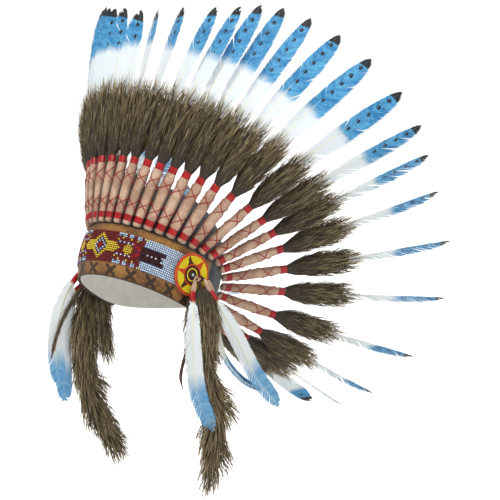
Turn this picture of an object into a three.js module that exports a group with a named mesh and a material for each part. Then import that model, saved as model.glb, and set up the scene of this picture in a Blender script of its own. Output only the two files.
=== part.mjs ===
// Feathered headdress: a felt skullcap with a crown of dyed feathers that fan out round it, a leather
// brow band with a beaded strip, and a beaded rosette with feather drops and a fur tail at each temple.
// Millimetres, +Z up, front towards -Y, the wearer's left towards +X. The origin is the middle of the
// head form at the height where the feather line crosses the temples.
import * as THREE from 'three';

const DEGREE = Math.PI / 180;

// Head form, as the inside of the cap
const HEAD_WIDTH = 164;
const HEAD_LENGTH = 200;
const CROWN_RISE = 110;
const CROWN_SQUARENESS = 2.3;
const WIDEST_DROP = 30;
const LOWER_TUCK = 0.45;
const HEAD_TILT = 25 * DEGREE;

// Cap, brow band and beaded strip: walls, heights and how far round each goes from the brow's middle
const FELT_WALL = 2.5;
const LEATHER_WALL = 2;
const BEAD_WALL = 2.2;
const SEAT_GAP = 0.3;
const CAP_HEM = 2;
const CAP_NAPE_RISE = 32;
const FEATHER_NAPE_DROP = 36;
const BAND_TOP_DROP = 6.5;
const BAND_HEIGHT = 70;
const BAND_REACH = 105 * DEGREE;
const STRIP_DROP = 15.5;
const STRIP_HEIGHT = 43;
const STRIP_TUCK = 3 * DEGREE;

// Rosettes
const ROSETTE_DIAMETER = 58;
const ROSETTE_THICKNESS = 3.4;
const ROSETTE_TURN = 85 * DEGREE;
const BUTTON_DIAMETER = 10;
const BUTTON_RISE = 2;

// Crown feathers: a suede sleeve, a tuft of fur and the vane
const FEATHERS_PER_SIDE = 18;
const FEATHER_CROWDING = 0.037;
const FEATHER_LENGTH = 350;
const FEATHER_GAP = 0.8;
const SLEEVE_LENGTH = 93;
const SLEEVE_WIDTH = 15.5;
const SLEEVE_DEPTH = 10.5;
const SLEEVE_TAIL = 5.5;
const TUFT_LENGTH = 93;
const TUFT_WIDTH = 32;
const TUFT_DEPTH = 24;
const LOCK_LENGTH = 14;
const VANE_WIDTH = 29;
const VANE_THICKNESS = 1.6;
const VANE_TWIST = 24 * DEGREE;
const VANE_ROOT = 0.5;

// Drops and fur tails that hang from the rosettes
const DROP_SLEEVE_LENGTH = 34;
const DROP_SLEEVE_WIDTH = 8.5;
const DROP_VANE_WIDTH = 25;
const DROP_VANE_THICKNESS = 3;
const SMALL_DROP_WIDTH = 12;
const TAIL_WIDTH = 31;
const TAIL_DEPTH = 15;
const TAIL_STRAP_WIDTH = 7;
const TAIL_STRAP_DEPTH = 2;
const FUR_LOBE_WIDTH = 22;
const FUR_LOBE_DEPTH = 9;

const SECTION_SIDES = 8;

// How the crown feathers stand from brow to nape. Turn is the angle round the head from the brow,
// flare leans a feather out from the cap's axis, sweep leans it towards the nape, bow is how much it
// bends back from root to tip, and length is a share of the longest feather.
const FAN = [
  { turn: 0, flare: 9, sweep: 0, bow: 0, length: 0.83 },
  { turn: 12, flare: 9.5, sweep: 5, bow: 6, length: 0.86 },
  { turn: 25, flare: 10, sweep: 10.5, bow: 15, length: 0.91 },
  { turn: 50, flare: 16, sweep: 11, bow: 14, length: 0.985 },
  { turn: 75, flare: 26, sweep: 13.5, bow: 23, length: 1 },
  { turn: 95, flare: 36, sweep: 18, bow: 14, length: 0.975 },
  { turn: 116, flare: 47, sweep: 15, bow: 0, length: 0.915 },
  { turn: 140, flare: 70, sweep: 11, bow: -4, length: 0.93 },
  { turn: 160, flare: 91, sweep: 7, bow: -5, length: 0.86 },
  { turn: 180, flare: 97, sweep: 0, bow: -6, length: 0.81 },
];

// Sections of a crown feather. Along is a share of the part's own length, girth a share of its width.
const SLEEVE_ROWS = [
  { along: 0, girth: 0.78 },
  { along: 0.09, girth: 0.86 },
  { along: 0.5, girth: 1 },
  { along: 0.93, girth: 0.84 },
];
const TUFT_ROWS = [
  { along: 0.14, girth: 0.55, valley: 0.86, lock: 0 },
  { along: 0.6, girth: 1, valley: 0.8, lock: 0 },
  { along: 0.87, girth: 0.86, valley: 0.7, lock: 1 },
];
const VANE_ROWS = [
  { along: 0, girth: 0.6, slant: 0 },
  { along: 0.28, girth: 0.92, slant: 0 },
  { along: 0.62, girth: 1, slant: 0.02 },
  { along: 0.88, girth: 0.66, slant: 0.12 },
  { along: 1, girth: 0.08, slant: 0.3 },
];

// Sections of a hanging feather and of a fur tail, as shares of its length, width and depth
const DROP_ROWS = [
  { along: 0.03, width: 0.3, depth: 1 },
  { along: 0.14, width: 0.72, depth: 1.5 },
  { along: 0.38, width: 1, depth: 1.2 },
  { along: 0.72, width: 0.84, depth: 0.7 },
  { along: 0.92, width: 0.5, depth: 0.5 },
  { along: 1, width: 0.08, depth: 0.3 },
];
const TAIL_ROWS = [
  { along: 0.1, width: 0.24, depth: 0.3, lock: 0 },
  { along: 0.16, width: 0.62, depth: 0.7, lock: 0 },
  { along: 0.3, width: 0.9, depth: 1, lock: 0.4 },
  { along: 0.34, width: 0.7, depth: 0.8, lock: 0 },
  { along: 0.5, width: 0.86, depth: 0.95, lock: 0.4 },
  { along: 0.54, width: 0.68, depth: 0.75, lock: 0 },
  { along: 0.69, width: 1, depth: 1, lock: 0.5 },
  { along: 0.73, width: 0.7, depth: 0.75, lock: 0 },
  { along: 0.88, width: 0.86, depth: 0.85, lock: 0.5 },
  { along: 1, width: 0.16, depth: 0.3, lock: 0 },
];

// Routes of what hangs from each rosette, in millimetres from its centre: back towards the nape,
// down, and out from its face. One hand-made list for each hanging piece.
const HANGING_ROUTES = {
  left: {
    drop_front: [
      { back: 3, down: 8, out: 1.9 },
      { back: -7.5, down: 26.5, out: 9 },
      { back: -12, down: 40.5, out: 17 },
      { back: -15, down: 92.5, out: 21 },
      { back: -5, down: 159.5, out: 20 },
      { back: 23, down: 208.5, out: 17 },
    ],
    drop_back: [
      { back: 19, down: 6, out: 1.9 },
      { back: 24, down: 23.5, out: 9 },
      { back: 31, down: 36.5, out: 15 },
      { back: 62, down: 86.5, out: 20 },
      { back: 97, down: 137.5, out: 18 },
      { back: 141, down: 180.5, out: 14 },
    ],
    drop_small: [
      { back: 25, down: 8, out: 1.9 },
      { back: 33, down: 28.5, out: 3 },
      { back: 40, down: 64.5, out: 2 },
      { back: 56, down: 112.5, out: 1 },
      { back: 86, down: 142.5, out: 0 },
      { back: 120, down: 159.5, out: -1 },
    ],
    fur_tail: [
      { back: 11, down: 9, out: 1.4 },
      { back: 13, down: 36.5, out: 5 },
      { back: 13, down: 124.5, out: 7 },
      { back: 31, down: 174.5, out: 8 },
      { back: 27, down: 236.5, out: 8 },
      { back: 22, down: 294.5, out: 8 },
    ],
    fur_lobe: [
      { back: 14, down: 22, out: -5.5 },
      { back: 20, down: 42, out: -6.5 },
      { back: 26, down: 66.5, out: -8 },
      { back: 38, down: 94.5, out: -8.5 },
      { back: 50, down: 122.5, out: -8.5 },
    ],
  },
  right: {
    drop_front: [
      { back: -9, down: 4, out: 1.9 },
      { back: -22, down: 19.5, out: 9 },
      { back: -33, down: 31.5, out: 15 },
      { back: -46, down: 74.5, out: 19 },
      { back: -49, down: 129.5, out: 19 },
      { back: -47, down: 176.5, out: 16 },
    ],
    drop_back: [
      { back: -17, down: -3, out: 1.9 },
      { back: -30, down: 3.5, out: 4.6 },
      { back: -44, down: 16.5, out: 7 },
      { back: -66, down: 56.5, out: 8 },
      { back: -74, down: 104.5, out: 8 },
      { back: -70, down: 152.5, out: 6 },
    ],
    fur_tail: [
      { back: -2, down: 12, out: 1.4 },
      { back: -12, down: 36.5, out: 5 },
      { back: -22, down: 98.5, out: 6 },
      { back: -14, down: 154.5, out: 8 },
      { back: 22, down: 210.5, out: 8 },
      { back: 66, down: 264.5, out: 8 },
    ],
    fur_lobe: [
      { back: 5, down: 24, out: -4.85 },
      { back: 2, down: 44, out: -7 },
      { back: 1, down: 66.5, out: -8.5 },
      { back: 4, down: 94.5, out: -9.5 },
      { back: 12, down: 120.5, out: -9.5 },
    ],
  },
};

const finishes = {
  felt: new THREE.MeshStandardMaterial({ color: 0x4b555c, roughness: 0.95, metalness: 0 }),
  leather: new THREE.MeshStandardMaterial({ color: 0x99632f, roughness: 0.85, metalness: 0 }),
  beads: new THREE.MeshStandardMaterial({ color: 0xa8b6c8, roughness: 0.35, metalness: 0 }),
  rosette: new THREE.MeshStandardMaterial({ color: 0xe6d42a, roughness: 0.35, metalness: 0 }),
  feather: new THREE.MeshStandardMaterial({ color: 0x4f9ad0, roughness: 0.7, metalness: 0 }),
  fur: new THREE.MeshStandardMaterial({ color: 0x594a36, roughness: 0.9, metalness: 0 }),
};

// Heights and the head form, in the cap's own tilted frame

const widestHeight = -WIDEST_DROP;
const brimHeight = -(BAND_TOP_DROP + BAND_HEIGHT);
const towardsNape = (turn) => Math.max(0, -Math.cos(turn));

function featherLine(turn) {
  return -FEATHER_NAPE_DROP * towardsNape(turn) ** 3;
}

function capEdge(turn) {
  return brimHeight + CAP_HEM + CAP_NAPE_RISE * towardsNape(turn) ** 2;
}

// A height between the cap's edge and the feather line that is at the given drop along the brow
function heightAtDrop(turn, drop) {
  const share = drop / (-brimHeight - CAP_HEM);
  return THREE.MathUtils.lerp(featherLine(turn), capEdge(turn), share);
}

// A point on the head form grown by offset, in the cap's frame
function formPoint(turn, height, offset) {
  const rise = CROWN_RISE + offset;
  const level = (height - widestHeight) / rise;
  const girth = level >= 0
    ? (1 - Math.min(level, 1) ** CROWN_SQUARENESS) ** (1 / CROWN_SQUARENESS)
    : 1 - LOWER_TUCK * level ** 2;
  return new THREE.Vector3(
    (HEAD_WIDTH / 2 + offset) * girth * Math.sin(turn),
    -(HEAD_LENGTH / 2 + offset) * girth * Math.cos(turn),
    height,
  );
}

function tilted(vector) {
  return vector.applyAxisAngle(new THREE.Vector3(1, 0, 0), -HEAD_TILT);
}

// The outward normal of the head form, in the cap's frame
function formNormal(turn, height, offset) {
  const step = 0.01;
  const round = formPoint(turn + step, height, offset).sub(formPoint(turn - step, height, offset));
  const up = formPoint(turn, height + step, offset).sub(formPoint(turn, height - step, offset));
  return round.cross(up).normalize();
}

// Solids

function meshFrom(name, finish, points, triangles) {
  const geometry = new THREE.BufferGeometry();
  geometry.setAttribute('position', new THREE.Float32BufferAttribute(points.flatMap((p) => p.toArray()), 3));
  geometry.setIndex(triangles.flat());
  geometry.computeVertexNormals();
  const mesh = new THREE.Mesh(geometry, finish);
  mesh.name = name;
  return mesh;
}

// A wall between two grids of points, rows from the lower edge up and columns round the head. It
// closes on itself all the way round, or has ends, and it may close over the crown in one point.
function wallSolid(name, finish, outer, inner, { closed, crown = [] }) {
  const rows = outer.length;
  const columns = outer[0].length;
  const points = [...outer.flat(), ...inner.flat(), ...crown];
  const at = (side, row, column) => side * rows * columns + row * columns + (column % columns);
  const triangles = [];
  const quad = (a, b, c, d) => triangles.push([a, b, c], [a, c, d]);
  const last = closed ? columns : columns - 1;
  for (let column = 0; column < last; column += 1) {
    for (let row = 0; row < rows - 1; row += 1) {
      quad(at(0, row, column), at(0, row, column + 1), at(0, row + 1, column + 1), at(0, row + 1, column));
      quad(at(1, row, column + 1), at(1, row, column), at(1, row + 1, column), at(1, row + 1, column + 1));
    }
    quad(at(1, 0, column), at(1, 0, column + 1), at(0, 0, column + 1), at(0, 0, column));
    if (crown.length > 0) {
      const top = 2 * rows * columns;
      triangles.push([at(0, rows - 1, column), at(0, rows - 1, column + 1), top]);
      triangles.push([at(1, rows - 1, column + 1), at(1, rows - 1, column), top + 1]);
    } else {
      quad(at(0, rows - 1, column), at(0, rows - 1, column + 1),
        at(1, rows - 1, column + 1), at(1, rows - 1, column));
    }
  }
  if (!closed) {
    for (let row = 0; row < rows - 1; row += 1) {
      quad(at(1, row, 0), at(0, row, 0), at(0, row + 1, 0), at(1, row + 1, 0));
      quad(at(0, row, last), at(1, row, last), at(1, row + 1, last), at(0, row + 1, last));
    }
  }
  return meshFrom(name, finish, points, triangles);
}

// A solid through closed sections of equal count, each counter-clockwise seen from the far end
function loftSolid(name, finish, sections, mirrored = false) {
  const sides = sections[0].length;
  const points = sections.flat().map((p) => (mirrored ? new THREE.Vector3(-p.x, p.y, p.z) : p));
  const triangles = [];
  for (let row = 0; row < sections.length - 1; row += 1) {
    for (let side = 0; side < sides; side += 1) {
      const next = (side + 1) % sides;
      const [a, b] = [row * sides + side, row * sides + next];
      triangles.push([a, b, b + sides], [a, b + sides, a + sides]);
    }
  }
  const top = (sections.length - 1) * sides;
  for (let side = 1; side < sides - 1; side += 1) {
    triangles.push([0, side + 1, side], [top, top + side, top + side + 1]);
  }
  return meshFrom(name, finish, points, mirrored ? triangles.map(([a, b, c]) => [a, c, b]) : triangles);
}

// Cap, brow band and strip share their columns, so that their facets lie parallel

const stripReach = ROSETTE_TURN - STRIP_TUCK;

function evenTurns(from, to, count) {
  return Array.from({ length: count }, (_, i) => from + ((to - from) * (i + 1)) / count);
}

const halfTurns = [
  ...evenTurns(0, stripReach, 8),
  ...evenTurns(stripReach, BAND_REACH, 2),
  ...evenTurns(BAND_REACH, Math.PI, 7),
];
const allTurns = [...halfTurns.slice(0, -1).map((turn) => -turn).reverse(), 0, ...halfTurns];
const turnsWithin = (reach) => allTurns.filter((turn) => Math.abs(turn) < reach + DEGREE / 10);

const stripDrops = [STRIP_DROP + STRIP_HEIGHT, STRIP_DROP + STRIP_HEIGHT / 2, STRIP_DROP];
const crownShares = [0.2, 0.42, 0.65, 0.86];

function drapedGrid(turns, drops, offset) {
  return drops.map((drop) => turns.map((turn) => formPoint(turn, heightAtDrop(turn, drop), offset)));
}

function crownGrid(turns, offset) {
  return crownShares.map((share) => turns.map((turn) => {
    const rise = CROWN_RISE + offset;
    const from = Math.asin((featherLine(turn) - widestHeight) / rise);
    const angle = THREE.MathUtils.lerp(from, Math.PI / 2, share);
    return formPoint(turn, widestHeight + rise * Math.sin(angle), offset);
  }));
}

function buildCap() {
  const drops = [-brimHeight - CAP_HEM, ...stripDrops, BAND_TOP_DROP, 0];
  const grid = (offset) => [...drapedGrid(allTurns, drops, offset), ...crownGrid(allTurns, offset)];
  const crown = [FELT_WALL, 0].map((offset) => new THREE.Vector3(0, 0, widestHeight + CROWN_RISE + offset));
  return wallSolid('cap', finishes.felt, grid(FELT_WALL), grid(0), { closed: true, crown });
}

function buildDrapedWall(name, finish, reach, drops, inside, wall) {
  const turns = turnsWithin(reach);
  return wallSolid(name, finish, drapedGrid(turns, drops, inside + wall), drapedGrid(turns, drops, inside),
    { closed: false });
}

const bandInside = FELT_WALL + SEAT_GAP;
const bandOutside = bandInside + LEATHER_WALL;
const stripInside = bandOutside + SEAT_GAP;
const stripOutside = stripInside + BEAD_WALL;

function buildBrowBand() {
  const drops = [-brimHeight, -brimHeight - CAP_HEM, ...stripDrops, BAND_TOP_DROP];
  return buildDrapedWall('brow_band', finishes.leather, BAND_REACH, drops, bandInside, LEATHER_WALL);
}

function buildBeadStrip() {
  return buildDrapedWall('bead_strip', finishes.beads, stripReach, stripDrops, stripInside, BEAD_WALL);
}

// Rosettes: a flat beaded disc with a button, on the strip's end and tangent to it

function rosetteFrame(side) {
  const turn = side * ROSETTE_TURN;
  const height = heightAtDrop(turn, STRIP_DROP + STRIP_HEIGHT / 2);
  const centre = tilted(formPoint(turn, height, stripOutside + SEAT_GAP));
  const out = tilted(formNormal(turn, height, stripOutside));
  const back = new THREE.Vector3(0, 0, side).cross(out).normalize();
  return { centre, out, back };
}

function buildRosette(name, side) {
  const [rim, button] = [ROSETTE_DIAMETER / 2, BUTTON_DIAMETER / 2];
  const profile = [
    [0, 0], [rim, 0], [rim, ROSETTE_THICKNESS * 0.6], [rim * 0.95, ROSETTE_THICKNESS],
    [button, ROSETTE_THICKNESS], [button * 0.8, ROSETTE_THICKNESS + BUTTON_RISE * 0.7],
    [0, ROSETTE_THICKNESS + BUTTON_RISE],
  ].map(([radius, height]) => new THREE.Vector2(radius, height));
  const mesh = new THREE.Mesh(new THREE.LatheGeometry(profile, 24), finishes.rosette);
  const { centre, out } = rosetteFrame(side);
  mesh.name = name;
  mesh.position.copy(centre);
  mesh.quaternion.setFromUnitVectors(new THREE.Vector3(0, 1, 0), out);
  return mesh;
}

// Crown feathers

// One column of the fan table at a turn, on a smooth curve through its rows
function fanValue(turn, column) {
  const degrees = turn / DEGREE;
  const found = FAN.findIndex((row) => row.turn >= degrees);
  const upper = THREE.MathUtils.clamp(found < 0 ? FAN.length - 1 : found, 1, FAN.length - 1);
  const rows = [upper - 2, upper - 1, upper, upper + 1]
    .map((index) => FAN[THREE.MathUtils.clamp(index, 0, FAN.length - 1)]);
  const slope = (a, b) => (b[column] - a[column]) / (b.turn - a.turn);
  const span = rows[2].turn - rows[1].turn;
  const share = (degrees - rows[1].turn) / span;
  const [start, end] = [slope(rows[0], rows[2]) * span, slope(rows[1], rows[3]) * span];
  const [square, cube] = [share ** 2, share ** 3];
  return (2 * cube - 3 * square + 1) * rows[1][column] + (cube - 2 * square + share) * start
    + (3 * square - 2 * cube) * rows[2][column] + (cube - square) * end;
}

function featherTurn(index) {
  const share = (index + 0.5) / FEATHERS_PER_SIDE;
  return Math.PI * (share - FEATHER_CROWDING * Math.sin(Math.PI * share));
}

// Where a feather is rooted and how it runs: a gentle arc that bends back from root to tip
function featherPath(turn) {
  const height = featherLine(turn);
  const normal = tilted(formNormal(turn, height, FELT_WALL));
  const [flare, sweep] = [fanValue(turn, 'flare') * DEGREE, fanValue(turn, 'sweep') * DEGREE];
  const aim = tilted(new THREE.Vector3(
    Math.sin(sweep) * Math.cos(turn) + Math.cos(sweep) * Math.sin(flare) * Math.sin(turn),
    Math.sin(sweep) * Math.sin(turn) - Math.cos(sweep) * Math.sin(flare) * Math.cos(turn),
    Math.cos(sweep) * Math.cos(flare),
  ));
  const length = FEATHER_LENGTH * fanValue(turn, 'length');
  const spread = Math.asin(aim.x);
  const bow = fanValue(turn, 'bow') * DEGREE;
  const pitch = Math.atan2(aim.y, aim.z) - bow / 2;
  const heading = (angle, reach) => new THREE.Vector3(
    Math.sin(spread),
    Math.cos(spread) * Math.sin(angle) * reach,
    Math.cos(spread) * Math.cos(angle) * reach,
  );
  const rise = heading(pitch, 1).dot(normal);
  const lean = Math.sqrt(1 - rise ** 2);
  const drawBack = SLEEVE_TAIL * lean;
  const standoff = SEAT_GAP + (SLEEVE_ROWS[0].girth * SLEEVE_DEPTH / 2) * lean + drawBack * rise;
  const start = tilted(formPoint(turn, height, FELT_WALL)).addScaledVector(normal, standoff)
    .addScaledVector(heading(pitch, 1), -drawBack);
  const direction = (along) => heading(pitch + (bow * along) / length, 1);
  const point = (along) => {
    const half = (bow * along) / length / 2;
    const chord = Math.abs(half) < 1e-6 ? 1 : Math.sin(half) / half;
    return heading(pitch + half, chord).multiplyScalar(along).add(start);
  };
  return { length, direction, point };
}

// The feather's cross direction at a distance along it, its face direction, and the room on each side
function featherSlice(index, along) {
  const [before, here, after] = [index - 1, index, index + 1].map((place) => {
    const turn = featherTurn(THREE.MathUtils.clamp(place, 0, FEATHERS_PER_SIDE - 1));
    const point = featherPath(turn).point(along);
    return place < 0 || place >= FEATHERS_PER_SIDE ? point.multiply(new THREE.Vector3(-1, 1, 1)) : point;
  });
  const direction = featherPath(featherTurn(index)).direction(along);
  const across = after.clone().sub(before).projectOnPlane(direction).normalize();
  const face = direction.clone().cross(across);
  const room = Math.min(here.distanceTo(before), here.distanceTo(after)) / 2 - FEATHER_GAP / 2;
  return { here, direction, across, face, room };
}

// A closed ring of points round a slice: half width, half depth, twist, and a valley and lock that
// pull every second point in and push the others along, as locks of fur
function ring({ here, direction, across, face }, width, depth, { twist = 0, valley = 1, lock = 0, shift = 0 }) {
  const wide = across.clone().multiplyScalar(Math.cos(twist)).addScaledVector(face, -Math.sin(twist));
  const deep = direction.clone().cross(wide);
  return Array.from({ length: SECTION_SIDES }, (_, side) => {
    const angle = (2 * Math.PI * side) / SECTION_SIDES;
    const reach = side % 2 === 0 ? 1 : valley;
    return here.clone()
      .addScaledVector(wide, width * reach * Math.cos(angle) + shift)
      .addScaledVector(deep, depth * reach * Math.sin(angle))
      .addScaledVector(direction, side % 2 === 0 ? lock : 0);
  });
}

function featherSections(index) {
  const { length } = featherPath(featherTurn(index));
  const tuftLength = Math.min(TUFT_LENGTH, (length - SLEEVE_LENGTH) / 2);
  const tuftEnd = SLEEVE_LENGTH + tuftLength;
  const sleeve = SLEEVE_ROWS.map(({ along, girth }) => {
    const slice = featherSlice(index, along * SLEEVE_LENGTH);
    return ring(slice, Math.min(girth * SLEEVE_WIDTH / 2, slice.room), girth * SLEEVE_DEPTH / 2, {});
  });
  const tuft = TUFT_ROWS.map(({ along, girth, valley, lock }) => {
    const slice = featherSlice(index, SLEEVE_LENGTH + along * tuftLength);
    const width = Math.min(girth * TUFT_WIDTH / 2, slice.room);
    return ring(slice, width, girth * TUFT_DEPTH / 2, { valley, lock: lock * LOCK_LENGTH });
  });
  const vaneStart = tuftEnd - TUFT_LENGTH * 0.1;
  const vane = VANE_ROWS.map(({ along, girth, slant }) => {
    const distance = THREE.MathUtils.lerp(vaneStart, length, along);
    const slice = featherSlice(index, distance);
    const ownWidth = girth * VANE_WIDTH / 2;
    const crowded = index === 0 || index === FEATHERS_PER_SIDE - 1;
    const width = along === 0 ? Math.min(ownWidth, slice.room) * VANE_ROOT : ownWidth;
    return ring(slice, crowded ? Math.min(width, slice.room) : width, VANE_THICKNESS / 2,
      { twist: VANE_TWIST, shift: -slant * VANE_WIDTH / 2 });
  });
  return [...sleeve, ...tuft, ...vane];
}

// Hanging feathers, tails and lobes

// Slices along a smooth route from a rosette, each facing the way the rosette does
function hangingSlices(side, route, rows) {
  const { centre, out, back } = rosetteFrame(side);
  const lift = ROSETTE_THICKNESS;
  const points = route.map((stop) => centre.clone()
    .addScaledVector(back, stop.back)
    .addScaledVector(out, stop.out + lift)
    .add(new THREE.Vector3(0, 0, -stop.down)));
  const curve = new THREE.CatmullRomCurve3(points, false, 'centripetal');
  return rows.map((row) => {
    const direction = curve.getTangentAt(row.along);
    const across = direction.clone().cross(out).multiplyScalar(-side).normalize();
    const slice = { here: curve.getPointAt(row.along), direction, across, face: direction.clone().cross(across) };
    return { row, slice, length: curve.getLength() };
  });
}

function buildDrop(name, side, route, vaneWidth) {
  const [thick, narrow] = [DROP_SLEEVE_WIDTH / 2, DROP_SLEEVE_WIDTH / 3];
  const whole = hangingSlices(side, route, [{ along: 0 }])[0].length;
  const share = DROP_SLEEVE_LENGTH / whole;
  const sleeveRows = [{ along: 0, radius: narrow * 0.7 }, { along: share * 0.3, radius: thick },
    { along: share * 0.95, radius: thick * 0.85 }];
  const vaneRows = DROP_ROWS.map((row) => ({ ...row, along: THREE.MathUtils.lerp(share, 1, row.along) }));
  const sleeve = hangingSlices(side, route, sleeveRows)
    .map(({ row, slice }) => ring(slice, row.radius, row.radius * 0.8, {}));
  const vane = hangingSlices(side, route, vaneRows)
    .map(({ row, slice }) => ring(slice, row.width * vaneWidth / 2, row.depth * DROP_VANE_THICKNESS / 2, {}));
  return loftSolid(name, finishes.feather, [...sleeve, ...vane]);
}

function buildTail(name, side, route, width, depth) {
  const strap = hangingSlices(side, route, [{ along: 0 }, { along: 0.075 }])
    .map(({ slice }) => ring(slice, TAIL_STRAP_WIDTH / 2, TAIL_STRAP_DEPTH / 2, {}));
  const fur = hangingSlices(side, route, TAIL_ROWS)
    .map(({ row, slice }) => ring(slice, row.width * width / 2, row.depth * depth / 2,
      { valley: 0.84, lock: row.lock * LOCK_LENGTH }));
  return loftSolid(name, finishes.fur, [...strap, ...fur]);
}

// The whole headdress

const headdress = new THREE.Group();

const headwear = new THREE.Group();
headwear.rotation.x = -HEAD_TILT;
headwear.add(buildCap(), buildBrowBand(), buildBeadStrip());
headdress.add(headwear);

for (let index = 0; index < FEATHERS_PER_SIDE; index += 1) {
  const place = String(index + 1).padStart(2, '0');
  const sections = featherSections(index);
  headdress.add(loftSolid(`feather_left_${place}`, finishes.feather, sections));
  headdress.add(loftSolid(`feather_right_${place}`, finishes.feather, sections, true));
}

for (const [name, side] of [['left', 1], ['right', -1]]) {
  const routes = HANGING_ROUTES[name];
  headdress.add(buildRosette(`rosette_${name}`, side));
  headdress.add(buildDrop(`drop_front_${name}`, side, routes.drop_front, DROP_VANE_WIDTH));
  headdress.add(buildDrop(`drop_back_${name}`, side, routes.drop_back, DROP_VANE_WIDTH));
  if (routes.drop_small) {
    headdress.add(buildDrop(`drop_small_${name}`, side, routes.drop_small, SMALL_DROP_WIDTH));
  }
  headdress.add(buildTail(`fur_tail_${name}`, side, routes.fur_tail, TAIL_WIDTH, TAIL_DEPTH));
  headdress.add(buildTail(`fur_lobe_${name}`, side, routes.fur_lobe, FUR_LOBE_WIDTH, FUR_LOBE_DEPTH));
}

export default headdress;
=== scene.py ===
"""Dresses the feathered headdress: felt cap, suede brow band, loomed beads, rosettes, feathers and fur.

Lengths inside the classes are in millimetres, in the same frame as the part's source, and each mesh
is made in metres. Turns are angles round the head from the brow's middle, positive to the wearer's left.
"""

import logging
import math
from collections.abc import Callable
from dataclasses import dataclass, field, replace
from enum import Enum
from functools import cache

import bpy
import numpy as np
from bpy.types import ID, Material, Node, NodeSocket, NodeTree, Object
from mathutils import Matrix, Vector

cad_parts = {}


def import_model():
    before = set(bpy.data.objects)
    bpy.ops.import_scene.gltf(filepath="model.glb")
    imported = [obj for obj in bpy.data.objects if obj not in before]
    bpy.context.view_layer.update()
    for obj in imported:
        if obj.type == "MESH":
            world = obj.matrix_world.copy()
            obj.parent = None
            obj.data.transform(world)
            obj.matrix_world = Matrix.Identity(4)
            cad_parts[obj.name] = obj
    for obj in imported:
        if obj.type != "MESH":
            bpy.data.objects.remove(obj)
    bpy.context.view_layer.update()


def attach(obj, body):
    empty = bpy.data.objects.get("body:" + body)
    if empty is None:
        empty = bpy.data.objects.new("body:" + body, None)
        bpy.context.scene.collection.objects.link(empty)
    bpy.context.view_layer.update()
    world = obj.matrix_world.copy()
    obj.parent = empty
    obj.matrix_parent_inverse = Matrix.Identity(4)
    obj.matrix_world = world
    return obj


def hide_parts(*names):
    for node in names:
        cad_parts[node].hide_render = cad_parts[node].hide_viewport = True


LOG = logging.getLogger("headdress")
MM = 0.001
BODY = "root"

Points = np.ndarray
Faces = list[tuple[int, ...]]
VALUE_KINDS = {1: ("FLOAT", "value"), 3: ("FLOAT_VECTOR", "vector"), 4: ("FLOAT_COLOR", "color")}


class Slot(Enum):
    """The record's material slots."""

    FELT = "felt"
    SUEDE = "suede"
    BEADS = "beads"
    FEATHER = "feather"
    FUR = "fur"


class Side(Enum):
    """A side of the wearer's head, with the sign of its X."""

    LEFT = 1
    RIGHT = -1

    @property
    def word(self) -> str:
        """The side's name as the CAD nodes spell it."""
        return self.name.lower()


def smooth(low: float, high: float, value: Points) -> Points:
    """Eases from 0 at low to 1 at high."""
    share = np.clip((np.asarray(value, float) - low) / (high - low), 0.0, 1.0)
    return share * share * (3.0 - 2.0 * share)


def unit(vectors: Points) -> Points:
    """Gives vectors a length of one, along their last axis."""
    length = np.linalg.norm(vectors, axis=-1, keepdims=True)
    return vectors / np.maximum(length, 1e-12)


def circle(sides: int) -> Points:
    """Gives evenly spaced angles round a ring."""
    return np.arange(sides) * 2 * math.pi / sides


def gauge(line: Points) -> Points:
    """Gives the distance along a line of points at each of them."""
    return np.concatenate([[0.0], np.cumsum(np.linalg.norm(np.diff(line, axis=0), axis=1))])


def linked(name: str, data: ID) -> Object:
    """Makes an object of a mesh, camera or light and puts it in the scene."""
    made = bpy.data.objects.new(name, data)
    bpy.context.scene.collection.objects.link(made)
    return made


@dataclass
class MeshData:
    """A mesh in the making: its points in millimetres, its faces and its named values.

    Attributes:
        points: One row of X, Y and Z for each point.
        faces: Tuples of point indices, counter-clockwise from outside.
        values: Named numbers, vectors or colours, one for each point.
    """

    points: list[Points] = field(default_factory=list)
    faces: Faces = field(default_factory=list)
    values: dict[str, list[Points]] = field(default_factory=dict)
    count: int = 0

    def add(self, points: Points, faces: Faces, **values: Points) -> None:
        """Adds a shape.

        Args:
            points: The shape's points.
            faces: Its faces, counted from its own first point.
            **values: Its named values, one row for each point.
        """
        start = self.count
        self.points.append(np.asarray(points, float).reshape(-1, 3))
        self.faces.extend(tuple(index + start for index in face) for face in faces)
        self.count += len(self.points[-1])
        for name, rows in values.items():
            self.values.setdefault(name, []).append(np.asarray(rows, float))

    def to_object(self, name: str) -> Object:
        """Makes a Blender object from the data.

        Args:
            name: The object's name.

        Returns:
            The new object, at the origin and in metres.
        """
        mesh = bpy.data.meshes.new(name)
        points = np.vstack(self.points) * MM
        mesh.from_pydata(points.tolist(), [], self.faces)
        for label, rows in self.values.items():
            data = np.concatenate(rows, axis=0)
            wide = 1 if data.ndim == 1 else data.shape[1]
            kind, key = VALUE_KINDS[wide]
            layer = mesh.attributes.new(label, kind, "POINT")
            layer.data.foreach_set(key, data.astype(np.float32).ravel())
        mesh.update()
        return linked(name, mesh)


def solid(name: str, points: Points, faces: Faces, angle: float | None = None, **values: Points) -> Object:
    """Makes one smooth-shaded piece of one shape.

    Args:
        name: The piece's name.
        points: Its points in millimetres.
        faces: Its faces.
        angle: The sharpest edge in degrees that still looks round, or None for all.
        **values: Its named values.

    Returns:
        The piece.
    """
    data = MeshData()
    data.add(points, faces, **values)
    piece = data.to_object(name)
    shade_smooth(piece, angle)
    return piece


def thread_line(points: Points, edges: list[tuple[int, int]]) -> Object:
    """Makes the bare edges that a thread follows, from points in millimetres."""
    mesh = bpy.data.meshes.new("line")
    mesh.from_pydata((points * MM).tolist(), edges, [])
    return linked("line", mesh)


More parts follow.
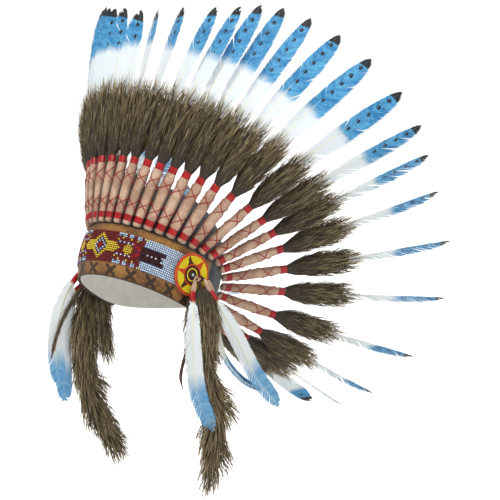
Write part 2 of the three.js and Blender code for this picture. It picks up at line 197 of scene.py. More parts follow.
def loop_edges(count: int) -> list[tuple[int, int]]:
    """Lists the edges that join points in a closed loop."""
    return [(place, (place + 1) % count) for place in range(count)]


def loft_faces(rows: int, sides: int, capped: bool = True) -> Faces:
    """Lists the faces of a closed loft, with rings one after another.

    Args:
        rows: How many rings there are.
        sides: How many points each ring has.
        capped: Whether the two ends are closed.

    Returns:
        The faces, outward where each ring runs counter-clockwise seen from the loft's far end.
    """
    faces: Faces = []
    for row in range(rows - 1):
        for side in range(sides):
            here, after = row * sides + side, row * sides + (side + 1) % sides
            faces.append((here, after, after + sides, here + sides))
    if capped:
        faces.append(tuple(reversed(range(sides))))
        faces.append(tuple(range((rows - 1) * sides, rows * sides)))
    return faces


def wall_faces(rows: int, columns: int, closed: bool) -> Faces:
    """Lists the faces of a wall between two grids of points, the outer grid first.

    Args:
        rows: Rows of each grid, from the lower edge up.
        columns: Columns of each grid, counter-clockwise seen from above.
        closed: Whether the wall closes on itself round the head.

    Returns:
        The faces of both sides, the two edges and, on an open wall, the two ends.
    """
    size = rows * columns
    faces: Faces = []
    last = columns if closed else columns - 1

    def at(side: int, row: int, column: int) -> int:
        """Finds a point's index."""
        return side * size + row * columns + column % columns

    for column in range(last):
        right, top = column + 1, rows - 1
        for row in range(top):
            up = row + 1
            faces.append((at(0, row, column), at(0, row, right), at(0, up, right), at(0, up, column)))
            faces.append((at(1, row, right), at(1, row, column), at(1, up, column), at(1, up, right)))
        faces.append((at(1, 0, column), at(1, 0, right), at(0, 0, right), at(0, 0, column)))
        faces.append((at(0, top, column), at(0, top, right), at(1, top, right), at(1, top, column)))
    if not closed:
        for row in range(rows - 1):
            faces.append((at(1, row, 0), at(0, row, 0), at(0, row + 1, 0), at(1, row + 1, 0)))
            faces.append((at(0, row, last), at(1, row, last), at(1, row + 1, last), at(0, row + 1, last)))
    return faces


def shade_smooth(piece: Object, angle: float | None = None) -> None:
    """Smooths a piece's shading.

    Args:
        piece: The piece.
        angle: The sharpest edge in degrees that still looks round, or None for all.
    """
    piece.data.polygons.foreach_set("use_smooth", np.ones(len(piece.data.polygons), bool))
    if angle is not None:
        piece.data.set_sharp_from_angle(angle=math.radians(angle))
    piece.data.update()


def settle(piece: Object, slot: Slot, material: Material | None, *nodes: str) -> None:
    """Finishes a piece: its material, its body and the CAD nodes that it stands for.

    Args:
        piece: The finished piece.
        slot: The record's slot for the piece; not used.
        material: Its material, or None where the mesh has its own.
        *nodes: The CAD nodes that it replaces.
    """
    if material is not None:
        piece.data.materials.clear()
        piece.data.materials.append(material)
    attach(piece, BODY)
    if nodes:
        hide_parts(*nodes)
    count = sum(len(face.vertices) - 2 for face in piece.data.polygons)
    LOG.info("%s: %d triangles, stands for %d nodes", piece.name, count, len(nodes))


@dataclass(frozen=True)
class HeadForm:
    """The head form that everything is seated on, with the sizes of the part's source."""

    width: float = 164.0
    length: float = 200.0
    crown_rise: float = 110.0
    squareness: float = 2.3
    widest_drop: float = 30.0
    lower_tuck: float = 0.45
    tilt: float = math.radians(25)
    nape_rise: float = 32.0
    feather_nape_drop: float = 36.0
    hem: float = 2.0
    brim: float = -76.5

    def feather_line(self, turn: Points) -> Points:
        """Gives the height of the feathers' roots at a turn."""
        return -self.feather_nape_drop * np.maximum(0.0, -np.cos(turn)) ** 3

    def cap_edge(self, turn: Points) -> Points:
        """Gives the height of the cap's lower edge at a turn."""
        return self.brim + self.hem + self.nape_rise * np.maximum(0.0, -np.cos(turn)) ** 2

    def drape(self, turn: Points, drop: Points) -> Points:
        """Gives the height that lies a drop below the feather line, measured at the brow."""
        share = drop / (-self.brim - self.hem)
        return self.feather_line(turn) * (1 - share) + self.cap_edge(turn) * share

    def tilted(self, points: Points) -> Points:
        """Turns points from the cap's own frame into the row frame."""
        points = np.asarray(points, float)
        cosine, sine = math.cos(self.tilt), math.sin(self.tilt)
        y = points[..., 1] * cosine + points[..., 2] * sine
        z = points[..., 2] * cosine - points[..., 1] * sine
        return np.stack([points[..., 0], y, z], axis=-1)

    def local(self, turn: Points, height: Points, offset: Points) -> Points:
        """Gives a point on the form, grown by offset, in the cap's own frame."""
        turn, height, offset = np.broadcast_arrays(*(np.asarray(v, float) for v in (turn, height, offset)))
        rise = self.crown_rise + offset
        level = (height + self.widest_drop) / rise
        above = (1 - np.clip(level, 0, 1) ** self.squareness) ** (1 / self.squareness)
        girth = np.where(level >= 0, above, 1 - self.lower_tuck * level**2)
        x = (self.width / 2 + offset) * girth * np.sin(turn)
        y = -(self.length / 2 + offset) * girth * np.cos(turn)
        return np.stack([x, y, height], axis=-1)

    def point(self, turn: Points, height: Points, offset: Points) -> Points:
        """Gives a point on the form, grown by offset, in the row frame."""
        return self.tilted(self.local(turn, height, offset))

    def normal(self, turn: Points, height: Points, offset: Points) -> Points:
        """Gives the outward direction of the form in the row frame."""
        step = 0.01
        turn, height = np.broadcast_arrays(np.asarray(turn, float), np.asarray(height, float))
        around = self.point(turn + step, height, offset) - self.point(turn - step, height, offset)
        upward = self.point(turn, height + step, offset) - self.point(turn, height - step, offset)
        return unit(np.cross(around, upward))

    def arc_turns(self, drop: float, offset: float, arcs: Points) -> Points:
        """Finds the turns that lie at given distances round the form from the brow's middle.

        Args:
            drop: The line's drop below the feather line.
            offset: How far outside the form the line runs.
            arcs: Signed distances along the line.

        Returns:
            One turn for each distance.
        """
        turns = np.linspace(0, math.radians(120), 600)
        line = self.point(turns, self.drape(turns, drop), offset)
        return np.sign(arcs) * np.interp(np.abs(arcs), gauge(line), turns)


FORM = HeadForm()
FELT_OUTSIDE = 2.5
BAND_OUTSIDE = FELT_OUTSIDE + 0.3 + 2.0
STRIP_OUTSIDE = BAND_OUTSIDE + 0.3 + 2.2
ROSETTE_TURN = math.radians(85)
STRIP_DROP = 15.5
STRIP_HEIGHT = 43.0


def hermite(share: float, start: object, end: object, leave: object, arrive: object) -> object:
    """Gives a value on the cubic from start to end that leaves and arrives at the given slopes."""
    square, cube = share**2, share**3
    return (
        (2 * cube - 3 * square + 1) * start
        + (cube - 2 * square + share) * leave
        + (3 * square - 2 * cube) * end
        + (cube - square) * arrive
    )


@dataclass(frozen=True)
class FanRow:
    """How the crown feathers stand at one turn: angles in degrees, length as a share of the longest."""

    turn: float
    flare: float
    sweep: float
    bow: float
    length: float


FAN = (
    FanRow(0, 9, 0, 0, 0.83),
    FanRow(12, 9.5, 5, 6, 0.86),
    FanRow(25, 10, 10.5, 15, 0.91),
    FanRow(50, 16, 11, 14, 0.985),
    FanRow(75, 26, 13.5, 23, 1),
    FanRow(95, 36, 18, 14, 0.975),
    FanRow(116, 47, 15, 0, 0.915),
    FanRow(140, 70, 11, -4, 0.93),
    FanRow(160, 91, 7, -5, 0.86),
    FanRow(180, 97, 0, -6, 0.81),
)


def fan_value(turn: float, column: str) -> float:
    """Reads one column of the fan's rows at a turn, on a smooth curve through them.

    Args:
        turn: The turn in radians.
        column: A field's name.

    Returns:
        The value at that turn.
    """
    degrees = math.degrees(turn)
    upper = next((place for place, row in enumerate(FAN) if row.turn >= degrees), len(FAN) - 1)
    upper = min(max(upper, 1), len(FAN) - 1)
    rows = [FAN[min(max(place, 0), len(FAN) - 1)] for place in (upper - 2, upper - 1, upper, upper + 1)]
    values = [getattr(row, column) for row in rows]
    span = rows[2].turn - rows[1].turn
    share = (degrees - rows[1].turn) / span
    start = (values[2] - values[0]) / (rows[2].turn - rows[0].turn) * span
    end = (values[3] - values[1]) / (rows[3].turn - rows[1].turn) * span
    return hermite(share, values[1], values[2], start, end)


@dataclass
class FeatherPath:
    """The line of one crown feather of the wearer's left: a gentle arc that bends back from its root."""

    turn: float
    longest: float = 350.0
    sleeve_tail: float = 5.5
    root_depth: float = 0.78 * 10.5 / 2
    seat_gap: float = 0.3

    def __post_init__(self) -> None:
        """Works out the root, the length and the two angles of the arc."""
        turn = self.turn
        height = FORM.feather_line(turn)
        normal = FORM.normal(turn, height, FELT_OUTSIDE)
        flare, sweep = math.radians(fan_value(turn, "flare")), math.radians(fan_value(turn, "sweep"))
        aim = FORM.tilted(
            [
                math.sin(sweep) * math.cos(turn) + math.cos(sweep) * math.sin(flare) * math.sin(turn),
                math.sin(sweep) * math.sin(turn) - math.cos(sweep) * math.sin(flare) * math.cos(turn),
                math.cos(sweep) * math.cos(flare),
            ]
        )
        self.length = self.longest * fan_value(turn, "length")
        self.spread = math.asin(aim[0])
        self.bow = math.radians(fan_value(turn, "bow"))
        self.pitch = math.atan2(aim[1], aim[2]) - self.bow / 2
        start = self.heading(self.pitch, 1.0)
        rise = float(start @ normal)
        lean = math.sqrt(1 - rise**2)
        draw_back = self.sleeve_tail * lean
        standoff = self.seat_gap + self.root_depth * lean + draw_back * rise
        self.root = FORM.point(turn, height, FELT_OUTSIDE) + normal * standoff - start * draw_back

    def heading(self, angle: Points, reach: Points) -> Points:
        """Gives the direction at an angle of the arc, with its length in the arc's plane."""
        angle, reach = np.broadcast_arrays(np.asarray(angle, float), np.asarray(reach, float))
        flat = math.cos(self.spread)
        x = np.full(angle.shape, math.sin(self.spread))
        return np.stack([x, flat * np.sin(angle) * reach, flat * np.cos(angle) * reach], axis=-1)

    def direction(self, along: Points) -> Points:
        """Gives the feather's direction at a distance from its root."""
        return self.heading(self.pitch + self.bow * np.asarray(along, float) / self.length, 1.0)

    def point(self, along: Points) -> Points:
        """Gives the point at a distance from the feather's root."""
        along = np.asarray(along, float)
        half = self.bow * along / self.length / 2
        chord = np.sinc(half / math.pi)
        return self.heading(self.pitch + half, chord) * along[..., None] + self.root


@dataclass
class Slices:
    """Frames along a line: centres, and their forward, across and face directions."""

    here: Points
    direction: Points
    across: Points
    face: Points
    room: Points

    def place(self, across: Points, face: Points, along: Points = 0.0) -> Points:
        """Gives the points at offsets across, out of the face and along each frame."""
        across, face, along = (np.asarray(value, float)[..., None] for value in (across, face, along))
        return self.here + self.across * across + self.face * face + self.direction * along

    def mirrored(self, side: Side) -> "Slices":
        """Gives the frames on a side, where the right one mirrors the left."""
        if side is Side.LEFT:
            return self
        flip = np.array([-1.0, 1.0, 1.0])
        here, direction = self.here * flip, self.direction * flip
        return Slices(here, direction, self.across * flip, self.face * flip, self.room)


Frames = Callable[[Points], Slices]


@dataclass
class FeatherFan:
    """The ring of crown feathers: where each is rooted and how it runs."""

    per_side: int = 18
    crowding: float = 0.037
    gap: float = 0.8

    def __post_init__(self) -> None:
        """Makes the path of each feather on the wearer's left."""
        shares = (np.arange(self.per_side) + 0.5) / self.per_side
        turns = np.pi * (shares - self.crowding * np.sin(np.pi * shares))
        self.paths = [FeatherPath(float(turn)) for turn in turns]

    def slices(self, index: int, along: Points) -> Slices:
        """Gives a left feather's frames at distances from its root.

        Args:
            index: The feather, from 0 at the brow.
            along: Distances from its root.

        Returns:
            Its frames, with the room up to halfway to its neighbours.
        """
        flip = np.array([-1.0, 1.0, 1.0])
        along = np.asarray(along, float)
        here = self.paths[index].point(along)
        before = self.paths[index - 1].point(along) if index > 0 else here * flip
        last = index == self.per_side - 1
        after = here * flip if last else self.paths[index + 1].point(along)
        direction = unit(self.paths[index].direction(along))
        spread = after - before
        across = unit(spread - direction * np.sum(spread * direction, axis=-1, keepdims=True))
        room = np.minimum(np.linalg.norm(here - before, axis=-1), np.linalg.norm(after - here, axis=-1))
        return Slices(here, direction, across, np.cross(direction, across), room / 2 - self.gap / 2)


Colour = tuple[float, float, float]


def tone(red: int, green: int, blue: int) -> Colour:
    """Turns a screen colour of 0 to 255 into the linear colour that shaders use."""
    shares = (channel / 255 for channel in (red, green, blue))
    return tuple(share / 12.92 if share <= 0.04045 else ((share + 0.055) / 1.055) ** 2.4 for share in shares)


class NodeSheet:
    """One node tree, with short calls that add and link its nodes."""

    def __init__(self, tree: NodeTree) -> None:
        """Keeps the tree that nodes are added to."""
        self.tree = tree

    def node(self, kind: str, inputs: dict | None = None, **settings: object) -> Node:
        """Adds a node.

        Args:
            kind: The node's Blender type.
            inputs: Values or sockets for its inputs, by name or place.
            **settings: Its own settings, which are set before its inputs.

        Returns:
            The new node.
        """
        made = self.tree.nodes.new(kind)
        for label, value in settings.items():
            setattr(made, label, value)
        for label, value in (inputs or {}).items():
            if isinstance(value, NodeSocket):
                self.tree.links.new(value, made.inputs[label])
            else:
                made.inputs[label].default_value = value
        return made

    def math(self, operation: str, *values: object, clamp: bool = False) -> NodeSocket:
        """Adds a Math node on up to three values or sockets and gives its result."""
        made = self.node("ShaderNodeMath", dict(enumerate(values)), operation=operation, use_clamp=clamp)
        return made.outputs[0]

    def times(self, first: object, second: object) -> NodeSocket:
        """Multiplies."""
        return self.math("MULTIPLY", first, second)

    def plus(self, first: object, second: object) -> NodeSocket:
        """Adds."""
        return self.math("ADD", first, second)

    def less(self, first: object, second: object) -> NodeSocket:
        """Subtracts the second from the first."""
        return self.math("SUBTRACT", first, second)

    def times_plus(self, first: object, second: object, third: object) -> NodeSocket:
        """Multiplies the first two and adds the third."""
        return self.math("MULTIPLY_ADD", first, second, third)

    def blend(self, share: object, first: object, second: object, how: str = "MIX") -> NodeSocket:
        """Mixes two colours.

        Args:
            share: How much of the second, as a number or a socket.
            first: A colour or a socket.
            second: A colour or a socket.
            how: The way that they mix.

        Returns:
            The mixed colour.
        """
        given = (first, second)
        colours = [value if isinstance(value, NodeSocket) else (*value, 1.0) for value in given]
        inputs = {0: share, 6: colours[0], 7: colours[1]}
        return self.node("ShaderNodeMix", inputs, data_type="RGBA", blend_type=how).outputs[2]

    def scale(self, vector: NodeSocket, factor: object) -> NodeSocket:
        """Scales a vector by a number or a socket."""
        made = self.node("ShaderNodeVectorMath", {0: vector, "Scale": factor}, operation="SCALE")
        return made.outputs[0]

    def ease(self, value: object, low: float, high: float, start: float = 0.0, end: float = 1.0) -> object:
        """Maps a value smoothly from low and high to start and end."""
        inputs = {"Value": value, "From Min": low, "From Max": high, "To Min": start, "To Max": end}
        return self.node("ShaderNodeMapRange", inputs, interpolation_type="SMOOTHSTEP").outputs[0]

    def attribute(self, name: str, output: str = "Fac") -> NodeSocket:
        """Reads one of the piece's own named values."""
        return self.node("ShaderNodeAttribute", attribute_name=name).outputs[output]

    def group(self, tree: NodeTree, **inputs: object) -> Node:
        """Places a shared group, with its own values for the group's inputs."""
        made = self.tree.nodes.new("ShaderNodeGroup")
        made.node_tree = tree
        for label, value in inputs.items():
            socket = made.inputs[label.replace("_", " ").capitalize()]
            if isinstance(value, NodeSocket):
                self.tree.links.new(value, socket)
            else:
                socket.default_value = value
        return made


class ShaderLibrary:
    """The shader groups that several finishes share, each built once."""

    def _start(self, name: str, inputs: dict[str, float], outputs: tuple[str, ...]) -> tuple:
        """Makes a group with float sockets.

        Args:
            name: The group's name.
            inputs: Its inputs with their usual values.
            outputs: Its outputs.

        Returns:
            The group's tree, its sheet, its inputs by name and its output node.
        """
        tree = bpy.data.node_groups.new(name, "ShaderNodeTree")
        for label, value in inputs.items():
            socket = tree.interface.new_socket(label, in_out="INPUT", socket_type="NodeSocketFloat")
            socket.default_value = value
        for label in outputs:
            tree.interface.new_socket(label, in_out="OUTPUT", socket_type="NodeSocketFloat")
        sheet = NodeSheet(tree)
        given = {socket.name: socket for socket in sheet.node("NodeGroupInput").outputs}
        return tree, sheet, given, sheet.node("NodeGroupOutput")

    @cache
    def mottle(self) -> NodeTree:
        """Builds uneven patches: input Scale per metre, Low and High of the noise; output Mask."""
        usual = {"Scale": 40.0, "Low": 0.35, "High": 0.65, "Detail": 4.0}
        tree, sheet, given, result = self._start("mottle", usual, ("Mask",))
        place = sheet.node("ShaderNodeTexCoord").outputs["Object"]
        noise = sheet.node(
            "ShaderNodeTexNoise",
            {"Vector": place, "Scale": given["Scale"], "Detail": given["Detail"]},
        )
        inputs = {"Value": noise.outputs[0], "From Min": given["Low"], "From Max": given["High"]}
        eased = sheet.node("ShaderNodeMapRange", inputs, interpolation_type="SMOOTHSTEP")
        tree.links.new(eased.outputs[0], result.inputs["Mask"])
        return tree

    @cache
    def nap(self) -> NodeTree:
        """Builds a napped or grained relief: input Scale per metre and Coarse share; output Height."""
        tree, sheet, given, result = self._start("nap", {"Scale": 700.0, "Coarse": 0.4}, ("Height",))
        place = sheet.node("ShaderNodeTexCoord").outputs["Object"]
        fine = sheet.node("ShaderNodeTexNoise", {"Vector": place, "Scale": given["Scale"], "Detail": 3.0})
        wide = sheet.times(given["Scale"], 0.22)
        cells = sheet.node("ShaderNodeTexVoronoi", {"Vector": place, "Scale": wide})
        share = sheet.times(cells.outputs["Distance"], given["Coarse"])
        height = sheet.plus(fine.outputs[0], share)
        tree.links.new(height, result.inputs["Height"])
        return tree

    @cache
    def barbs(self) -> NodeTree:
        """Builds barb lines from Along and Across in millimetres; outputs Lines and Streaks."""
        usual = {"Along": 0.0, "Across": 0.0, "Seed": 0.0, "Slant": 0.7, "Pitch": 1.1}
        tree, sheet, given, result = self._start("barbs", usual, ("Lines", "Streaks"))
        aside = sheet.math("ABSOLUTE", given["Across"])
        slant = sheet.times(given["Slant"], -1.0)
        slid = sheet.times_plus(aside, slant, given["Along"])
        wave = sheet.math("DIVIDE", slid, given["Pitch"])
        seeded = sheet.times(given["Seed"], 37.0)
        where = sheet.node("ShaderNodeCombineXYZ", {0: wave, 1: sheet.times(aside, 0.06), 2: seeded})
        lines = sheet.node("ShaderNodeTexNoise", {"Vector": where.outputs[0], "Scale": 1.0, "Detail": 2.0})
        broad = sheet.times(slid, 0.16)
        where = sheet.node("ShaderNodeCombineXYZ", {0: broad, 1: sheet.times(aside, 0.05), 2: seeded})
        streaks = sheet.node("ShaderNodeTexNoise", {"Vector": where.outputs[0], "Scale": 1.0, "Detail": 3.0})
        tree.links.new(lines.outputs[0], result.inputs["Lines"])
        tree.links.new(streaks.outputs[0], result.inputs["Streaks"])
        return tree


LIBRARY = ShaderLibrary()


def start_material(name: str, roughness: float, sheen: float = 0.0) -> tuple:
    """Makes a material with a Principled shader.

    Args:
        name: The material's name.
        roughness: How matt it is.
        sheen: How much light its nap catches.

    Returns:
        The material, its sheet and its Principled node.
    """
    material = bpy.data.materials.new(name)
    material.use_nodes = True
    shader = material.node_tree.nodes["Principled BSDF"]
    shader.inputs["Roughness"].default_value = roughness
    shader.inputs["Sheen Weight"].default_value = sheen
    return material, NodeSheet(material.node_tree), shader


def paint(sheet: NodeSheet, shader: Node, colour: NodeSocket) -> None:
    """Feeds a colour to the shader."""
    sheet.tree.links.new(colour, shader.inputs["Base Color"])


def patches(sheet: NodeSheet, scale: float, low: float = 0.35, high: float = 0.65) -> NodeSocket:
    """Gives a mask of uneven patches."""
    return sheet.group(LIBRARY.mottle(), scale=scale, low=low, high=high).outputs["Mask"]


def raise_surface(sheet: NodeSheet, shader: Node, height: NodeSocket, depth: float) -> None:
    """Feeds a height in shares of a depth in metres to the shader's Normal."""
    bump = sheet.node("ShaderNodeBump", {"Height": height, "Distance": depth, "Strength": 1.0})
    sheet.tree.links.new(bump.outputs[0], shader.inputs["Normal"])


def raise_nap(sheet: NodeSheet, shader: Node, scale: float, coarse: float, depth: float) -> None:
    """Gives the shader a nap or grain."""
    nap = sheet.group(LIBRARY.nap(), scale=scale, coarse=coarse)
    raise_surface(sheet, shader, nap.outputs["Height"], depth)


def crowd(sheet: NodeSheet, colour: NodeSocket, depth: float) -> NodeSocket:
    """Paints shade into a colour by the piece's own Shade value, in the gaps against its neighbours."""
    share = sheet.times(sheet.attribute("shade"), depth)
    # painted shade: the near-black colour that the Shade value mixes in
    return sheet.blend(share, colour, (0.012, 0.008, 0.006))


@dataclass(frozen=True)
class SoftFinish:
    """Felt, suede or leather: two mixed colours in patches, with a nap.

    Attributes:
        name: The material's name.
        dark: The darker colour.
        light: The lighter colour.
        patch: Patches per metre.
        grain: Grain per metre.
        depth: The nap's depth in metres.
        roughness: How matt it is.
        sheen: How much light its nap catches.
        worn: The colour of its rubbed or stained spots.
        spots: How much of the surface those take.
        crowded: How much painted shade its own Shade value puts into its colour.
    """

    name: str
    dark: Colour
    light: Colour
    patch: float = 45.0
    grain: float = 900.0
    depth: float = 0.0003
    roughness: float = 0.9
    sheen: float = 0.15
    worn: Colour = (0.1, 0.08, 0.06)
    spots: float = 0.2
    coarse: float = 0.4
    crowded: float = 0.0

    def colour(self, sheet: NodeSheet) -> NodeSocket:
        """Mixes the colour from its patches, grain and stains, and paints shade by its Shade value."""
        broad = patches(sheet, self.patch)
        small = patches(sheet, self.patch * 7, 0.3, 0.7)
        share = sheet.times_plus(small, 0.35, sheet.times(broad, 0.65))
        mixed = sheet.blend(share, self.dark, self.light)
        stains = patches(sheet, self.patch * 2.3, 0.58, 0.8)
        # painted shade where the piece lies against its neighbours, from its own Shade value
        return crowd(sheet, sheet.blend(sheet.times(stains, self.spots), mixed, self.worn), self.crowded)

    def build(self) -> Material:
        """Builds the material."""
        material, sheet, shader = start_material(self.name, self.roughness, self.sheen)
        paint(sheet, shader, self.colour(sheet))
        shader.inputs["Sheen Roughness"].default_value = 0.6
        raise_nap(sheet, shader, self.grain, self.coarse, self.depth)
        return material


@dataclass(frozen=True)
class BandFinish(SoftFinish):
    """The brow band's suede, with dark crosses along its lower margin and darker top and bottom edges."""

    cross: Colour = (0.05, 0.025, 0.012)
    pitch: float = 28.5
    first: float = 14.25
    middle: float = 67.4
    reach: float = 7.2
    stroke: float = 3.1

    def colour(self, sheet: NodeSheet) -> NodeSocket:
        """Mixes the suede's colour, its crosses and its edges, from the band's own Arc and Drop values."""
        base = super().colour(sheet)
        arc, drop = sheet.attribute("arc"), sheet.attribute("drop")
        step = sheet.math("DIVIDE", sheet.plus(arc, self.first), self.pitch)
        cell = sheet.less(sheet.math("FRACT", step), 0.5)
        aside = sheet.math("ABSOLUTE", sheet.times(cell, self.pitch))
        below = sheet.math("ABSOLUTE", sheet.less(drop, self.middle))
        apart = sheet.math("ABSOLUTE", sheet.less(aside, below))
        rough = patches(sheet, 420.0, 0.2, 0.8)
        wide = sheet.times_plus(rough, 0.9, apart)
        arms = sheet.ease(wide, self.stroke, self.stroke + 1.1, 1.0, 0.0)
        within = sheet.ease(sheet.math("MAXIMUM", aside, below), self.reach, self.reach + 0.8, 1.0, 0.0)
        marks = sheet.times(arms, within)
        margin = sheet.ease(sheet.times_plus(rough, -1.0, drop), 73.4, 75.0)
        top = sheet.ease(sheet.times_plus(rough, 1.0, drop), 6.2, 5.2)
        edges = sheet.times(sheet.math("MAXIMUM", margin, top), 0.8)
        share = sheet.math("MAXIMUM", sheet.times(marks, 0.9), edges)
        return sheet.blend(share, base, self.cross)


@dataclass(frozen=True)
class ThreadFinish:
    """Glossy thread or wound floss, with fine ridges along its own length, and painted shade by its Shade
    value.
    """

    name: str
    colour: Colour
    shadow: Colour
    roughness: float = 0.38
    ridges: float = 1500.0

    def build(self) -> Material:
        """Builds the material."""
        material, sheet, shader = start_material(self.name, self.roughness, 0.05)
        share = patches(sheet, 260.0, 0.3, 0.7)
        # painted shade: darkened by the Shade value where a winding lies against the next one
        paint(sheet, shader, crowd(sheet, sheet.blend(share, self.shadow, self.colour), 0.85))
        raise_nap(sheet, shader, self.ridges, 0.1, 0.00012)
        return material


@dataclass(frozen=True)
class BeadFinish:
    """Glass seed beads, coloured by each bead's own Tint."""

    name: str = "glass_beads"
    roughness: float = 0.16

    def build(self) -> Material:
        """Builds the material."""
        material, sheet, shader = start_material(self.name, self.roughness)
        tint = sheet.attribute("tint", "Color")
        uneven = patches(sheet, 520.0, 0.3, 0.7)
        dulled = sheet.blend(1.0, tint, (0.86, 0.86, 0.86), "MULTIPLY")
        paint(sheet, shader, sheet.blend(uneven, dulled, tint))
        rough = sheet.ease(uneven, 0.0, 1.0, self.roughness + 0.12, self.roughness)
        sheet.tree.links.new(rough, shader.inputs["Roughness"])
        return material


@dataclass(frozen=True)
class FurFinish:
    """Fur hair: dark at the skin and lighter at its tips, from the strands' own Ramp and Shade values."""

    name: str
    root: Colour
    middle: Colour
    tip: Colour
    roughness: float = 0.62

    def build(self) -> Material:
        """Builds the material."""
        material, sheet, shader = start_material(self.name, self.roughness, 0.1)
        ramp, shade = sheet.attribute("ramp"), sheet.attribute("shade")
        lower = sheet.blend(sheet.ease(ramp, 0.0, 0.5), self.root, self.middle)
        hair = sheet.blend(sheet.ease(ramp, 0.45, 1.0), lower, self.tip)
        grey = sheet.ease(shade, 0.0, 1.0, 0.45, 1.25)
        scale = sheet.node("ShaderNodeCombineXYZ", {0: grey, 1: grey, 2: grey}).outputs[0]
        paint(sheet, shader, sheet.blend(1.0, hair, scale, "MULTIPLY"))
        raise_nap(sheet, shader, 1600.0, 0.1, 0.0001)
        return material


@dataclass(frozen=True)
class VaneFinish:
    """Dyed feather: white at the foot, blue above it with dark dots, and a black tip.

    It reads the vane's own values in millimetres: Along from the vane's foot, Across from the
    rachis, Left to the tip, and Seed from 0 to 1.
    """

    name: str
    white: Colour
    deep: Colour
    blue: Colour
    pale: Colour
    black: Colour
    foot: float = 58.0
    dot_pitch: float = 16.5
    dot_radius: float = 2.9
    tip: float = 15.0
    fade: float = 15.0

    def build(self) -> Material:
        """Builds the material."""
        material, sheet, shader = start_material(self.name, 0.6, 0.2)
        along, across = sheet.attribute("along"), sheet.attribute("across")
        left, seed = sheet.attribute("left"), sheet.attribute("seed")
        barbs = sheet.group(LIBRARY.barbs(), along=along, across=across, seed=seed)
        lines, streaks = barbs.outputs["Lines"], barbs.outputs["Streaks"]
        blue = sheet.blend(sheet.ease(streaks, 0.35, 0.68), self.deep, self.blue)
        paler = sheet.times(sheet.ease(lines, 0.5, 0.78), 0.4)
        blue = sheet.blend(paler, blue, self.pale)
        ragged = sheet.times_plus(streaks, 16.0, along)
        ragged = sheet.times_plus(lines, 5.0, ragged)
        moved = sheet.times_plus(seed, 9.0, ragged)
        dyed = sheet.ease(moved, self.foot + 11.0, self.foot + 11.0 + self.fade)
        body = sheet.blend(dyed, self.white, blue)
        offset = sheet.times_plus(seed, 6.0, sheet.less(left, self.tip + 1.0))
        cell = sheet.less(sheet.math("FRACT", sheet.math("DIVIDE", offset, self.dot_pitch)), 0.5)
        beside = sheet.less(across, 1.2)
        length = sheet.math("POWER", sheet.times(cell, self.dot_pitch), 2.0)
        reach = sheet.math("SQRT", sheet.plus(length, sheet.math("POWER", beside, 2.0)))
        uneven = sheet.times_plus(lines, 0.5, reach)
        dot = sheet.ease(uneven, self.dot_radius, self.dot_radius + 0.9, 1.0, 0.0)
        below_tip = sheet.ease(left, self.tip, self.tip + 2.0)
        inside = sheet.times(sheet.ease(moved, self.foot + 24.0, self.foot + 27.0), below_tip)
        body = sheet.blend(sheet.times(dot, inside), body, self.black)
        end = sheet.times_plus(streaks, -6.0, sheet.times_plus(across, 0.25, left))
        body = sheet.blend(sheet.ease(end, self.tip - 4.6, self.tip - 2.6, 1.0, 0.0), body, self.black)
        paint(sheet, shader, body)
        raise_surface(sheet, shader, lines, 0.0004)
        return material


